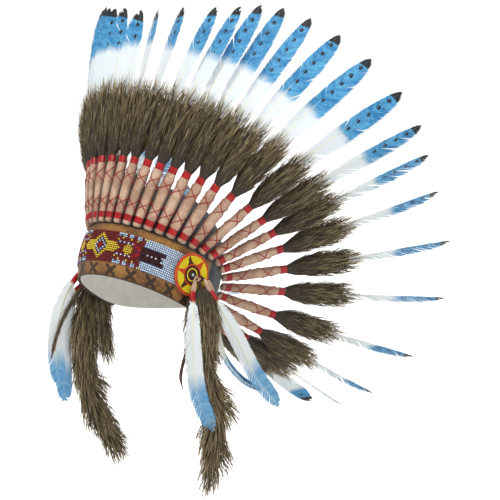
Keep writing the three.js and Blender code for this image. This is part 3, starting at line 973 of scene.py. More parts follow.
class NodeTrees:
    """The Geometry Nodes trees that make what repeats, each built once."""

    def _start(self, name: str, inputs: dict[str, tuple[str, object]]) -> tuple:
        """Makes a tree with a Geometry input and output.

        Args:
            name: The tree's name.
            inputs: Its other inputs: the socket's kind and usual value, or None.

        Returns:
            The tree, its sheet, its inputs by name and its output node.
        """
        tree = bpy.data.node_groups.new(name, "GeometryNodeTree")
        tree.interface.new_socket("Geometry", in_out="INPUT", socket_type="NodeSocketGeometry")
        for label, (kind, value) in inputs.items():
            socket = tree.interface.new_socket(label, in_out="INPUT", socket_type=f"NodeSocket{kind}")
            if value is not None:
                socket.default_value = value
        tree.interface.new_socket("Geometry", in_out="OUTPUT", socket_type="NodeSocketGeometry")
        sheet = NodeSheet(tree)
        given = {socket.name: socket for socket in sheet.node("NodeGroupInput").outputs}
        return tree, sheet, given, sheet.node("NodeGroupOutput")

    def _end(self, sheet: NodeSheet, given: dict[str, NodeSocket], result: Node, shape: object) -> None:
        """Ends a tree in Realize Instances and Set Material."""
        real = sheet.node("GeometryNodeRealizeInstances", {"Geometry": shape}).outputs[0]
        dressed = sheet.node("GeometryNodeSetMaterial", {"Geometry": real, "Material": given["Material"]})
        sheet.tree.links.new(dressed.outputs[0], result.inputs[0])

    def _named(self, sheet: NodeSheet, name: str, kind: str) -> NodeSocket:
        """Reads a named value of the geometry."""
        made = sheet.node("GeometryNodeInputNamedAttribute", {"Name": name}, data_type=kind)
        return next(socket for socket in made.outputs if socket.enabled and socket.name == "Attribute")

    @cache
    def scatter(self) -> NodeTree:
        """Builds a tree that puts a shape on each point, turned and sized by the point's Turn and Size."""
        inputs = {"Shape": ("Object", None), "Scale": ("Float", 1.0), "Material": ("Material", None)}
        tree, sheet, given, result = self._start("shape_on_points", inputs)
        shape = sheet.node("GeometryNodeObjectInfo", {"Object": given["Shape"]})
        turn = sheet.node("FunctionNodeEulerToRotation", {0: self._named(sheet, "turn", "FLOAT_VECTOR")})
        size = self._named(sheet, "size", "FLOAT_VECTOR")
        size = sheet.scale(size, given["Scale"])
        placed = sheet.node(
            "GeometryNodeInstanceOnPoints",
            {
                "Points": given["Geometry"],
                "Instance": shape.outputs["Geometry"],
                "Rotation": turn.outputs[0],
                "Scale": size,
            },
        )
        self._end(sheet, given, result, placed.outputs[0])
        return tree

    @cache
    def fur(self) -> NodeTree:
        """Builds a tree that covers a body with strands, which lie along its Flow and stand off by Lift."""
        inputs = {
            "Strand": ("Object", None),
            "Density": ("Float", 10000.0),
            "Length": ("Float", 0.03),
            "Lift": ("Float", 0.3),
            "Spread": ("Float", 0.2),
            "Seed": ("Int", 1),
            "Material": ("Material", None),
        }
        tree, sheet, given, result = self._start("fur_on_body", inputs)
        inputs = {"Mesh": given["Geometry"], "Density": given["Density"], "Seed": given["Seed"]}
        spread = sheet.node("GeometryNodeDistributePointsOnFaces", inputs)
        flow = self._named(sheet, "flow", "FLOAT_VECTOR")
        lifted = sheet.scale(spread.outputs["Normal"], given["Lift"])
        stray = sheet.node(
            "FunctionNodeRandomValue",
            {"Min": (-1.0, -1.0, -1.0), "Max": (1.0, 1.0, 1.0), "Seed": given["Seed"]},
            data_type="FLOAT_VECTOR",
        )
        strayed = sheet.scale(stray.outputs[0], given["Spread"])
        heading = sheet.node("ShaderNodeVectorMath", {0: flow, 1: lifted}, operation="ADD").outputs[0]
        heading = sheet.node("ShaderNodeVectorMath", {0: heading, 1: strayed}, operation="ADD")
        upright = sheet.node("FunctionNodeAlignRotationToVector", {"Vector": heading.outputs[0]}, axis="Z")
        inputs = {"Rotation": upright.outputs[0], "Vector": sheet.scale(spread.outputs["Normal"], -1.0)}
        turned = sheet.node("FunctionNodeAlignRotationToVector", inputs, axis="X", pivot_axis="Z")
        fluff = self._named(sheet, "fluff", "FLOAT")
        vary = sheet.node("FunctionNodeRandomValue", {2: 0.55, 3: 1.15, "Seed": given["Seed"]})
        length = sheet.times(sheet.times(given["Length"], vary.outputs[1]), fluff)
        wide = sheet.node("ShaderNodeCombineXYZ", {0: length, 1: length, 2: length})
        shade = sheet.node("FunctionNodeRandomValue", {2: 0.0, 3: 1.0, "Seed": 7})
        stored = sheet.node(
            "GeometryNodeStoreNamedAttribute",
            {"Geometry": spread.outputs["Points"], "Name": "shade", "Value": shade.outputs[1]},
            data_type="FLOAT",
            domain="POINT",
        )
        strand = sheet.node("GeometryNodeObjectInfo", {"Object": given["Strand"]})
        placed = sheet.node(
            "GeometryNodeInstanceOnPoints",
            {
                "Points": stored.outputs[0],
                "Instance": strand.outputs["Geometry"],
                "Rotation": turned.outputs[0],
                "Scale": wide.outputs[0],
            },
        )
        joined = sheet.node("GeometryNodeJoinGeometry")
        sheet.tree.links.new(placed.outputs[0], joined.inputs[0])
        sheet.tree.links.new(given["Geometry"], joined.inputs[0])
        self._end(sheet, given, result, joined.outputs[0])
        return tree

    @cache
    def thread(self) -> NodeTree:
        """Builds a tree that turns edges into round thread: inputs Radius, Sides and Material."""
        inputs = {"Radius": ("Float", 0.0005), "Sides": ("Int", 6), "Material": ("Material", None)}
        tree, sheet, given, result = self._start("thread_on_edges", inputs)
        line = sheet.node("GeometryNodeMeshToCurve", {"Mesh": given["Geometry"]})
        ring = sheet.node(
            "GeometryNodeCurvePrimitiveCircle",
            {"Resolution": given["Sides"], "Radius": given["Radius"]},
        )
        tube = sheet.node(
            "GeometryNodeCurveToMesh",
            {"Curve": line.outputs[0], "Profile Curve": ring.outputs[0], "Fill Caps": True},
        )
        self._end(sheet, given, result, tube.outputs[0])
        return tree


TREES = NodeTrees()


def run_tree(source: Object, tree: NodeTree, name: str, **inputs: object) -> Object:
    """Runs a tree on an object and keeps the result as a plain mesh.

    Args:
        source: The object that the tree starts from. It is removed.
        tree: The tree.
        name: The new object's name.
        **inputs: Values for the tree's inputs, in lower case.

    Returns:
        The new object.
    """
    modifier = source.modifiers.new("tree", "NODES")
    modifier.node_group = tree
    for item in tree.interface.items_tree:
        key = item.name.lower()
        if item.item_type == "SOCKET" and item.in_out == "INPUT" and key in inputs:
            modifier[item.identifier] = inputs[key]
    graph = bpy.context.evaluated_depsgraph_get()
    mesh = bpy.data.meshes.new_from_object(source.evaluated_get(graph))
    mesh.name = name
    source.modifiers.remove(modifier)
    bpy.data.objects.remove(source)
    return linked(name, mesh)


def point_cloud(name: str, points: Points, frames: Points, sizes: Points, **values: Points) -> Object:
    """Makes the points that a shape is put on.

    Args:
        name: The object's name.
        points: One point in millimetres for each copy of the shape.
        frames: For each, the directions of its X, Y and Z axes as the rows of a matrix.
        sizes: For each, its size along the three axes in millimetres.
        **values: More named values, one row for each point.

    Returns:
        An object with a Turn and a Size at each point.
    """
    turns = np.array([tuple(Matrix(np.asarray(frame).T.tolist()).to_euler("XYZ")) for frame in frames])
    data = MeshData()
    data.add(points, [], turn=turns, size=np.asarray(sizes) * MM, **values)
    return data.to_object(name)


class Shapes:
    """The small shapes that the trees repeat, each built once and kept out of the scene."""

    def _keep(self, name: str, rings: list[Points], **values: Points) -> Object:
        """Lofts rings into a shape one unit in size and takes it out of the scene."""
        made = solid(name, np.vstack(rings), loft_faces(len(rings), len(rings[0])), **values)
        made.data.transform(Matrix.Scale(1 / MM, 4))
        bpy.context.scene.collection.objects.unlink(made)
        return made

    @cache
    def bead(self) -> Object:
        """A seed bead: a round barrel one unit across, with its hole's axis along X."""
        profile = [(-0.44, 0.22), (-0.3, 0.46), (0.0, 0.52), (0.3, 0.46), (0.44, 0.22)]
        turns = circle(7)
        rings = [
            np.stack([np.full(7, x), size * np.cos(turns), size * np.sin(turns)], axis=-1)
            for x, size in profile
        ]
        return self._keep("bead", rings)

    @cache
    def strand(self) -> Object:
        """A hair one unit long along Z, three-sided, that bends towards X and ends in a point."""
        rows = [(0.0, 0.0, 0.017), (0.5, 0.05, 0.018), (1.0, 0.22, 0.001)]
        turns = circle(3)
        rings = [
            np.stack([bend + size * np.cos(turns), size * np.sin(turns), np.full(3, z)], axis=-1)
            for z, bend, size in rows
        ]
        return self._keep("strand", rings, ramp=np.repeat([row[0] for row in rows], 3))

    @cache
    def stitch(self) -> Object:
        """A stitch one unit long along X, humped in Z, with its ends sunk."""
        half = [(0.5, -0.25, 0.1), (0.38, 0.05, 0.16)]
        rows = [(-x, lift, size) for x, lift, size in half] + [(0.0, 0.16, 0.18)] + half[::-1]
        turns = circle(6)
        rings = [
            np.stack([np.full(6, x), size * np.cos(turns), lift + size * np.sin(turns)], axis=-1)
            for x, lift, size in rows
        ]
        return self._keep("stitch", rings)


SHAPES = Shapes()


class Glass(Enum):
    """The colours of the glass beads."""

    MAROON = tone(126, 34, 34)
    YELLOW = tone(246, 222, 62)
    WHITE = tone(240, 244, 246)
    PALE_BLUE = tone(150, 194, 230)
    SKY = tone(226, 238, 246)
    NAVY = tone(44, 44, 118)
    RED = tone(196, 26, 34)
    DARK = tone(64, 18, 26)
    BLACK = tone(18, 17, 18)
    LEMON = tone(250, 240, 26)
    ORANGE = tone(226, 74, 26)
    GREEN = tone(30, 66, 48)
    # the cloth's colour in the gaps between light beads, darkened as painted shade
    GAP = tone(84, 140, 200)
    RUST = tone(150, 78, 26)


def barrel_frames(along: Points, out: Points) -> Points:
    """Stacks the X, Y and Z directions of shapes that lie along one direction and face another."""
    along, out = unit(along), unit(out)
    side = unit(np.cross(out, along))
    return np.stack([along, side, np.cross(along, side)], axis=1)


def scattered(
    cloud: Object, name: str, shape: Object, material: Material
) -> Object:
    """Puts a shape on every point of a cloud and smooths the result."""
    piece = run_tree(cloud, TREES.scatter(), name, shape=shape, scale=1.0, material=material)
    shade_smooth(piece)
    return piece


def spun(line: Object, name: str, radius: float, sides: int, material: Material) -> Object:
    """Makes round thread of a line's edges, with its radius in metres."""
    return run_tree(line, TREES.thread(), name, radius=radius, sides=sides, material=material)


def bead_tint(glass: Glass, strength: float) -> list[float]:
    """Gives a glass colour with its strength changed, as a Tint."""
    return [*(np.array(glass.value) * strength), 1.0]


@dataclass
class Cap:
    """The felt skullcap that carries the feathers."""

    columns: int = 132

    def grid(self, offset: float) -> Points:
        """Gives the rows of the cap's surface from its edge to just short of its crown."""
        turns = circle(self.columns)
        rise = FORM.crown_rise + offset
        rows = [FORM.point(turns, FORM.drape(turns, drop), offset) for drop in np.linspace(74.5, 0, 16)]
        first = np.arcsin((FORM.feather_line(turns) + FORM.widest_drop) / rise)
        for share in np.linspace(0.07, 0.97, 14):
            height = -FORM.widest_drop + rise * np.sin(first + (math.pi / 2 - first) * share)
            rows.append(FORM.point(turns, height, offset))
        return np.array(rows)

    def shell(self, name: str, outside: float, inside: float) -> Object:
        """Builds a closed shell between two offsets from the head form.

        Args:
            name: The piece's name.
            outside: The outer face's offset.
            inside: The inner face's offset.

        Returns:
            The shell.
        """
        outer, inner = self.grid(outside), self.grid(inside)
        outer[0] += (inner[0] - outer[0]) * 0.3
        rows = len(outer)
        crown = [FORM.tilted([0, 0, FORM.crown_rise - FORM.widest_drop + lift]) for lift in (outside, inside)]
        faces = [face for face in wall_faces(rows, self.columns, True) if not self._bridges(face, rows)]
        size = rows * self.columns
        last = size - self.columns
        for column in range(self.columns):
            here, after = last + column, last + (column + 1) % self.columns
            faces.append((here, after, 2 * size))
            faces.append((after + size, here + size, 2 * size + 1))
        return solid(name, np.vstack([outer.reshape(-1, 3), inner.reshape(-1, 3), crown]), faces, 60)

    def _bridges(self, face: tuple[int, ...], rows: int) -> bool:
        """Says whether a face joins the two walls at their top row, which the crown closes instead."""
        size = rows * self.columns
        top = (rows - 1) * self.columns
        return top <= min(face) < size <= max(face) and all(index % size >= top for index in face)

    def dress(self) -> None:
        """Builds the cap and gives it its felt."""
        finish = SoftFinish(
            "felt", tone(34, 39, 45), tone(74, 83, 92), patch=60.0, grain=1300.0, depth=0.0004,
            roughness=0.97, sheen=0.2, worn=tone(104, 108, 108), spots=0.18, coarse=0.9,
        )
        settle(self.shell("cap_felt", FELT_OUTSIDE, 0.8), Slot.FELT, finish.build(), "cap")
        cotton = SoftFinish(
            "cotton_lining", tone(238, 235, 228), tone(250, 248, 243), patch=80.0, grain=1800.0,
            depth=0.0002, roughness=0.95, sheen=0.1, worn=tone(226, 220, 208), spots=0.3,
        )
        settle(self.shell("cap_lining", 0.75, 0.05), Slot.FELT, cotton.build())


@dataclass
class BrowBand:
    """The suede band round the brow, with its sewn edges and painted crosses."""

    reach: float = math.radians(105)
    inside: float = FELT_OUTSIDE + 0.3
    outside: float = BAND_OUTSIDE
    columns: int = 221
    stitch_pitch: float = 3.6

    def build(self) -> Object:
        """Builds the band's wall with soft edges and gentle puckers.

        Returns:
            The band, with its Arc and Drop values in millimetres.
        """
        turns = np.linspace(-self.reach, self.reach, self.columns)
        drops = [76.5, 76.2, 75.3, 73, 70, 66, 62, 58, 52, 44, 36, 28, 20, 16, 12, 9, 7, 5.6, 4.7, 4.4]
        round_edge = {76.5: 0.8, 76.2: 0.35, 4.7: 0.35, 4.4: 0.8}
        outer, inner, arcs = [], [], []
        ends = smooth(0, math.radians(1.5), self.reach - np.abs(turns))
        for drop in drops:
            arc = gauge(FORM.point(turns, FORM.drape(turns, drop), self.outside))
            arc -= arc[self.columns // 2]
            margin = smooth(60, 76.5, drop) + smooth(14, 4.4, drop)
            pucker = 0.28 * margin * np.sin(arc / 5.3 + drop / 9) * np.sin(arc / 17.0)
            thick = (self.outside - self.inside) * (1 - round_edge.get(drop, 0.0))
            offset = self.inside + np.maximum(thick * (0.35 + 0.65 * ends) + pucker * ends, 0.25)
            outer.append(self._row(turns, drop, offset))
            inner.append(self._row(turns, drop, np.full(len(turns), self.inside)))
            arcs.append(arc)
        return solid(
            "brow_band_suede", np.array([outer, inner]), wall_faces(len(drops), self.columns, False), 50,
            arc=np.tile(np.array(arcs).ravel(), 2), drop=np.tile(np.repeat(drops, self.columns), 2),
        )

    def _row(self, turns: Points, drop: float, offset: Points) -> Points:
        """Gives one row of the band's surface."""
        height = FORM.drape(turns, drop)
        out = FORM.normal(turns, height, self.inside)
        return FORM.point(turns, height, self.inside) + out * (offset - self.inside)[:, None]

    def stitches(self, material: Material) -> Object:
        """Sews the two long edges with short dark stitches across them.

        Args:
            material: The thread's material.

        Returns:
            The stitches as one piece.
        """
        points, frames = [], []
        rng = np.random.default_rng(11)
        for drop, jitter in ((6.6, 0.2), (74.3, 0.3)):
            arcs = np.arange(-168, 168, self.stitch_pitch)
            turns = FORM.arc_turns(drop, self.outside, arcs)
            turns = turns[np.abs(turns) < self.reach - 0.02]
            drops = drop + rng.uniform(-jitter, jitter, len(turns))
            height = FORM.drape(turns, drops)
            out = FORM.normal(turns, height, self.outside)
            lower = FORM.point(turns + 0.004, FORM.drape(turns, drops + 1), self.outside)
            points.append(FORM.point(turns, height, self.outside) + out * 0.02)
            frames.append(barrel_frames(lower - points[-1], out))
        points, frames = np.vstack(points), np.vstack(frames)
        cloud = point_cloud("band_stitches", points, frames, np.tile([2.7, 1.7, 1.5], (len(points), 1)))
        return scattered(cloud, "brow_band_stitches", SHAPES.stitch(), material)

    def dress(self) -> None:
        """Builds the band and its stitches in their finishes."""
        finish = BandFinish(
            "band_suede", tone(92, 58, 24), tone(168, 118, 56), patch=38.0, grain=1000.0, depth=0.0004,
            roughness=0.86, sheen=0.12, worn=tone(84, 56, 30), spots=0.55, cross=tone(34, 21, 15),
        )
        settle(self.build(), Slot.SUEDE, finish.build(), "brow_band")
        thread = ThreadFinish("dark_sinew", tone(84, 58, 34), tone(44, 30, 20), roughness=0.7).build()
        settle(self.stitches(thread), Slot.SUEDE, None)


@dataclass
class BeadStrip:
    """The loomed bead strip on the band, mirrored about the brow's middle."""

    pitch: float = 2.95
    rows: int = 15
    slip: float = 6.0
    reach: float = math.radians(82)
    hidden_within: float = 26.0

    def colour(self, arc: float, rise: float, even: bool) -> Glass:
        """Picks a bead's colour.

        Args:
            arc: Its signed distance from the brow's middle along the strip.
            rise: Its height above the strip's middle.
            even: Whether it is on an even place of the chequer.

        Returns:
            The bead's glass.
        """
        arc, high = abs(arc - self.slip), abs(rise)
        arc += self.slip * float(smooth(20, 60, arc))
        if arc < 24.0 or high < 7.9 and arc < 31.5:
            return self._diamond(arc, high, even)
        if arc >= 66.0:
            return self._block(arc, high, even)
        edge = self._edge_bar(arc, high, even)
        if edge is not None:
            return edge
        return self._arrow(arc, high, even)

    def _diamond(self, arc: float, high: float, even: bool) -> Glass:
        """Picks a colour in the stepped diamond at the brow and its neck."""
        if high / 4.6 + arc / 4.6 < 1:
            return Glass.RED
        if high / 7.6 + arc / 7.6 < 1:
            return Glass.BLACK
        if high / 12.2 + arc / 11.6 < 1:
            return Glass.WHITE if even else Glass.NAVY
        neck = high < 7.9 and 10 < arc < 31.5 and high < (31.5 - arc) * 0.85
        if high / 19.2 + arc / 18.6 < 1 or neck:
            return Glass.YELLOW
        return Glass.MAROON

    def _edge_bar(self, arc: float, high: float, even: bool) -> Glass | None:
        """Picks a colour in the light bars along the edges and their yellow steps."""
        for start, end, steps in ((15.5, 37.5, 4), (41.5, 51.5, 3), (56.0, 64.0, 2)):
            if high > 16.8 and start <= arc < end:
                middle = high < 19.0 and start + 1.5 < arc < end - 1
                if middle and even:
                    return Glass.PALE_BLUE
                return Glass.NAVY if middle and arc < 38 else Glass.SKY
            for step in range(steps + 1):
                foot = end - step * 2.9
                level = 18.6 - step * 1.95
                if foot - 0.4 <= arc < foot + 2.4 and abs(high - level) < 1.1:
                    return Glass.YELLOW
        return None

    def _arrow(self, arc: float, high: float, even: bool) -> Glass:
        """Picks a colour in the long arrow between the diamond and the block."""
        shaft = 9.6 if arc < 52 else max(0.0, (63.5 - arc) * 0.84)
        if arc > 21.0 and abs(high - shaft) < 1.05 and arc < 64.5:
            return Glass.WHITE if even or arc < 52 and high > shaft else Glass.NAVY
        if arc > 53.0 and shaft + 1.0 <= high < shaft + 3.6 + (arc - 53) * 0.12:
            return Glass.RED
        if high < shaft and high / 7.2 + max(0.0, abs(arc - 46.5) - 3.2) / 5.4 < 1:
            return Glass.YELLOW
        return Glass.MAROON

    def _block(self, arc: float, high: float, even: bool) -> Glass:
        """Picks a colour in the light chequer and the dark block that it frames."""
        if high > 17.6 and arc < 71.0:
            return Glass.YELLOW if arc > 68.6 else Glass.WHITE
        if high > 9.6 and arc < 68.0 + (high - 9.6) * 0.25:
            return Glass.YELLOW if 12.6 < high < 16.0 and even else Glass.MAROON
        end = 101.5 if 4.4 < high else 96.8 if high > 2.2 else 98.6
        if high < 9.6 and arc < end:
            near = min(abs(arc - stop) for stop in (69.5, 76.0, 82.6, 89.2, 95.6))
            return Glass.WHITE if high < 1.1 and near < 1.0 else Glass.DARK
        return Glass.SKY

    def backing(self) -> Object:
        """Builds the cloth that the beads are woven on, darkened under each bead as painted shade in the
        gaps.
        """
        turns = np.linspace(-self.reach, self.reach, 161)
        drops = np.linspace(STRIP_DROP + STRIP_HEIGHT, STRIP_DROP, 17)
        middle = STRIP_DROP + STRIP_HEIGHT / 2
        steps = np.arange(-150, 151)
        arcs = np.interp(turns, FORM.arc_turns(middle, STRIP_OUTSIDE, steps), steps)
        walls = [
            [FORM.point(turns, FORM.drape(turns, drop), offset) for drop in drops]
            for offset in (STRIP_OUTSIDE - 1.5, BAND_OUTSIDE + 0.25)
        ]
        # the cloth is real, but its tint is painted shade: a darkened copy of each bead's colour, a darker
        # blue under light beads
        under = {Glass.SKY: Glass.GAP, Glass.PALE_BLUE: Glass.GAP}
        under |= {Glass.WHITE: Glass.NAVY, Glass.YELLOW: Glass.RUST}
        tints = []
        for drop in drops:
            for arc in arcs:
                glass = self.colour(float(arc), middle - drop, True)
                tints.append(bead_tint(under.get(glass, glass), 0.62))
        faces = wall_faces(len(drops), len(turns), False)
        tint = np.tile(np.array(tints), (2, 1))
        return solid("bead_strip_backing", np.array(walls), faces, 40, tint=tint)

    def beads(self, material: Material, hide: list[Points]) -> Object:
        """Weaves the beads.

        Args:
            material: The glass.
            hide: Rosette centres, under which no bead is laid.

        Returns:
            The beads as one piece.
        """
        rng = np.random.default_rng(5)
        half = int(138 / self.pitch)
        places = np.arange(-half, half + 1)
        middle = STRIP_DROP + STRIP_HEIGHT / 2
        turns = FORM.arc_turns(middle, STRIP_OUTSIDE, places * self.pitch)
        keep = np.abs(turns) < self.reach - 0.012
        places, turns = places[keep], turns[keep]
        row_pitch = STRIP_HEIGHT / self.rows
        points, frames, tints = [], [], []
        for row in range(self.rows):
            rise = (row + 0.5) * row_pitch - STRIP_HEIGHT / 2
            height = FORM.drape(turns, middle - rise)
            centre = FORM.point(turns, height, STRIP_OUTSIDE - 0.9)
            ahead = FORM.point(turns + 0.01, FORM.drape(turns + 0.01, middle - rise), STRIP_OUTSIDE - 0.9)
            frame = barrel_frames(ahead - centre, FORM.normal(turns, height, STRIP_OUTSIDE))
            for place, point, axes in zip(places, centre, frame):
                if min(np.linalg.norm(point - disc) for disc in hide) < self.hidden_within:
                    continue
                glass = self.colour(place * self.pitch, rise, (abs(place) + row) % 2 == 0)
                points.append(point + rng.normal(0, 0.05, 3))
                frames.append(axes)
                tints.append(bead_tint(glass, rng.uniform(0.86, 1.1)))
        size = np.array([self.pitch * 0.84, row_pitch * 0.78, 2.1])
        sizes = size * rng.uniform(0.95, 1.05, (len(points), 1))
        cloud = point_cloud("strip_points", np.array(points), np.array(frames), sizes, tint=np.array(tints))
        return scattered(cloud, "bead_strip_beads", SHAPES.bead(), material)

    def dress(self, glass: Material, rosettes: list["Rosette"]) -> None:
        """Builds the strip in its finishes."""
        cloth = BeadFinish("strip_cloth", 0.8)
        settle(self.backing(), Slot.BEADS, cloth.build(), "bead_strip")
        settle(self.beads(glass, [rosette.centre for rosette in rosettes]), Slot.BEADS, None)


@dataclass
class Rosette:
    """A beaded disc with a star, a rim and a button, on one temple."""

    side: Side
    diameter: float = 58.0
    thickness: float = 3.4
    ring: float = 1.72
    button: float = 10.0
    rise: float = 2.0

    def __post_init__(self) -> None:
        """Places the disc on the strip's end, tangent to it."""
        turn = self.side.value * ROSETTE_TURN
        height = float(FORM.drape(turn, STRIP_DROP + STRIP_HEIGHT / 2))
        self.centre = FORM.point(turn, height, STRIP_OUTSIDE + 0.3)
        self.out = FORM.normal(turn, height, STRIP_OUTSIDE)
        self.back = unit(np.cross([0.0, 0.0, self.side.value], self.out))
        self.up = unit(np.cross(self.out, self.back)) * self.side.value

    def spot(self, radius: Points, angle: Points, lift: Points) -> Points:
        """Gives a point of the disc: radius, angle from the nape side upwards, and height off its seat."""
        radius, angle, lift = (np.asarray(value, float)[..., None] for value in (radius, angle, lift))
        flat = self.back * (radius * np.cos(angle)) + self.up * (radius * np.sin(angle))
        return self.centre + flat + self.out * lift

    def colour(self, radius: float, angle: float) -> Glass:
        """Picks a bead's colour from its place on the disc."""
        if radius > self.diameter / 2 - 2.9:
            return Glass.ORANGE
        if radius < 1.2:
            return Glass.WHITE
        if radius < 7.2:
            return Glass.BLACK if radius > 4.4 else Glass.GREEN
        if radius < 8.8:
            return Glass.LEMON
        if radius < 12.8:
            return Glass.BLACK
        if radius < 14.6:
            return Glass.ORANGE
        for point in range(6):
            tip = math.radians(100 - 60 * point)
            offset = (angle - tip + math.pi) % (2 * math.pi) - math.pi
            wide = 4.9 * (27.0 - radius) / (27.0 - 14.6)
            if abs(offset) * radius < wide:
                return Glass.BLACK if point % 2 == 0 else Glass.ORANGE
        return Glass.LEMON

    def base(self) -> Object:
        """Builds the disc's backing with its rolled rim and the button's seat."""
        sides = 64
        rim = self.diameter / 2
        edge = [(rim - 0.5, 0.0), (rim, 0.5), (rim, 1.9), (rim - 0.7, 2.5), (rim - 2.2, 2.7)]
        profile = [(0.6, 0.0), *edge, (0.6, 2.7)]
        angles = circle(sides) * self.side.value
        rings = [
            self.spot(np.full(sides, radius), angles, np.full(sides, lift))
            for radius, lift in profile
        ]
        faces = loft_faces(len(profile), sides)
        return solid(f"rosette_{self.side.word}_backing", np.vstack(rings), faces, 40)

    def beads(self, material: Material) -> Object:
        """Sews the beads in rings.

        Args:
            material: The glass.

        Returns:
            The beads as one piece.
        """
        rng = np.random.default_rng(8 + self.side.value)
        points, frames, tints = [], [], []
        rings = int(self.diameter / 2 / self.ring)
        for ring in range(rings):
            radius = 1.0 + (self.diameter / 2 - 1.7) * ring / (rings - 1)
            count = max(3, int(round(2 * math.pi * radius / (self.ring * 0.98))))
            angles = (np.arange(count) + rng.uniform()) * 2 * math.pi / count
            dome = self.rise * max(0.0, 1 - (radius / (self.button / 2 + 1.4)) ** 2)
            lift = 2.75 + dome * 0.8 - (0.9 if ring == rings - 1 else 0.0)
            places = self.spot(np.full(count, radius), angles, np.full(count, lift))
            ahead = self.spot(np.full(count, radius), angles + 0.02, np.full(count, lift))
            frame = barrel_frames(ahead - places, np.tile(self.out, (count, 1)))
            for place, axes, angle in zip(places, frame, angles):
                points.append(place)
                frames.append(axes)
                tints.append(bead_tint(self.colour(radius, float(angle)), rng.uniform(0.88, 1.08)))
        sizes = np.tile([self.ring * 1.08, self.ring * 0.94, 1.45], (len(points), 1))
        tint = np.array(tints)
        cloud = point_cloud("rosette_points", np.array(points), np.array(frames), sizes, tint=tint)
        return scattered(cloud, f"rosette_{self.side.word}_beads", SHAPES.bead(), material)

    def dress(self, glass: Material) -> None:
        """Builds the rosette in its finishes."""
        cloth = SoftFinish(
            f"rosette_cloth_{self.side.word}", tone(150, 52, 18), tone(206, 84, 26), patch=200.0,
            grain=1500.0, depth=0.0002, roughness=0.95,
        )
        settle(self.base(), Slot.BEADS, cloth.build(), f"rosette_{self.side.word}")
        settle(self.beads(glass), Slot.BEADS, None)


def ring_points(
    slices: Slices, width: Points, depth: Points, sides: int, bulge: Points | None = None
) -> Points:
    """Gives rings round a line's frames.

    Args:
        slices: The frames.
        width: Half the width at each frame.
        depth: Half the depth at each frame.
        sides: Points on each ring.
        bulge: How much each point stands out or in, one row for each frame, or None.

    Returns:
        One row of points for each frame, counter-clockwise seen from the far end on the left side.
    """
    angles = circle(sides)
    swell = np.ones((len(slices.here), sides)) if bulge is None else bulge
    across = np.asarray(width)[:, None] * np.cos(angles) * swell
    face = np.asarray(depth)[:, None] * np.sin(angles) * swell
    aside = slices.across[:, None] * across[..., None]
    return slices.here[:, None] + aside + slices.face[:, None] * face[..., None]


def sided(faces: Faces, flip: bool) -> Faces:
    """Turns a mirrored shape's faces the right way out."""
    return [tuple(reversed(face)) for face in faces] if flip else faces


def ribbed(start: float, end: float, ribs: int, inset: float, height: float) -> tuple[Points, Points]:
    """Gives where a winding's ribs lie between two distances, and how far each stands off."""
    turns = np.arange(ribs * 2 + 1)
    along = start + (end - start) * (inset + (1 - 2 * inset) * turns / turns[-1])
    rise = height + 0.2 * (turns % 2)
    return np.concatenate([[start], along, [end]]), np.concatenate([[-0.3], rise, [-0.3]])


@dataclass(frozen=True)
class FurLay:
    """How strands lie on a body: strands per square metre, length in metres, lift, spread and seed."""

    density: float
    length: float
    lift: float
    spread: float
    seed: int


def grow_fur(name: str, body: MeshData, lay: FurLay, material: Material) -> Object:
    """Grows strands on a body that has Flow, Fluff, Ramp and Shade values."""
    source = body.to_object("fur_body")
    return run_tree(source, TREES.fur(), name, strand=SHAPES.strand(), material=material, **vars(lay))


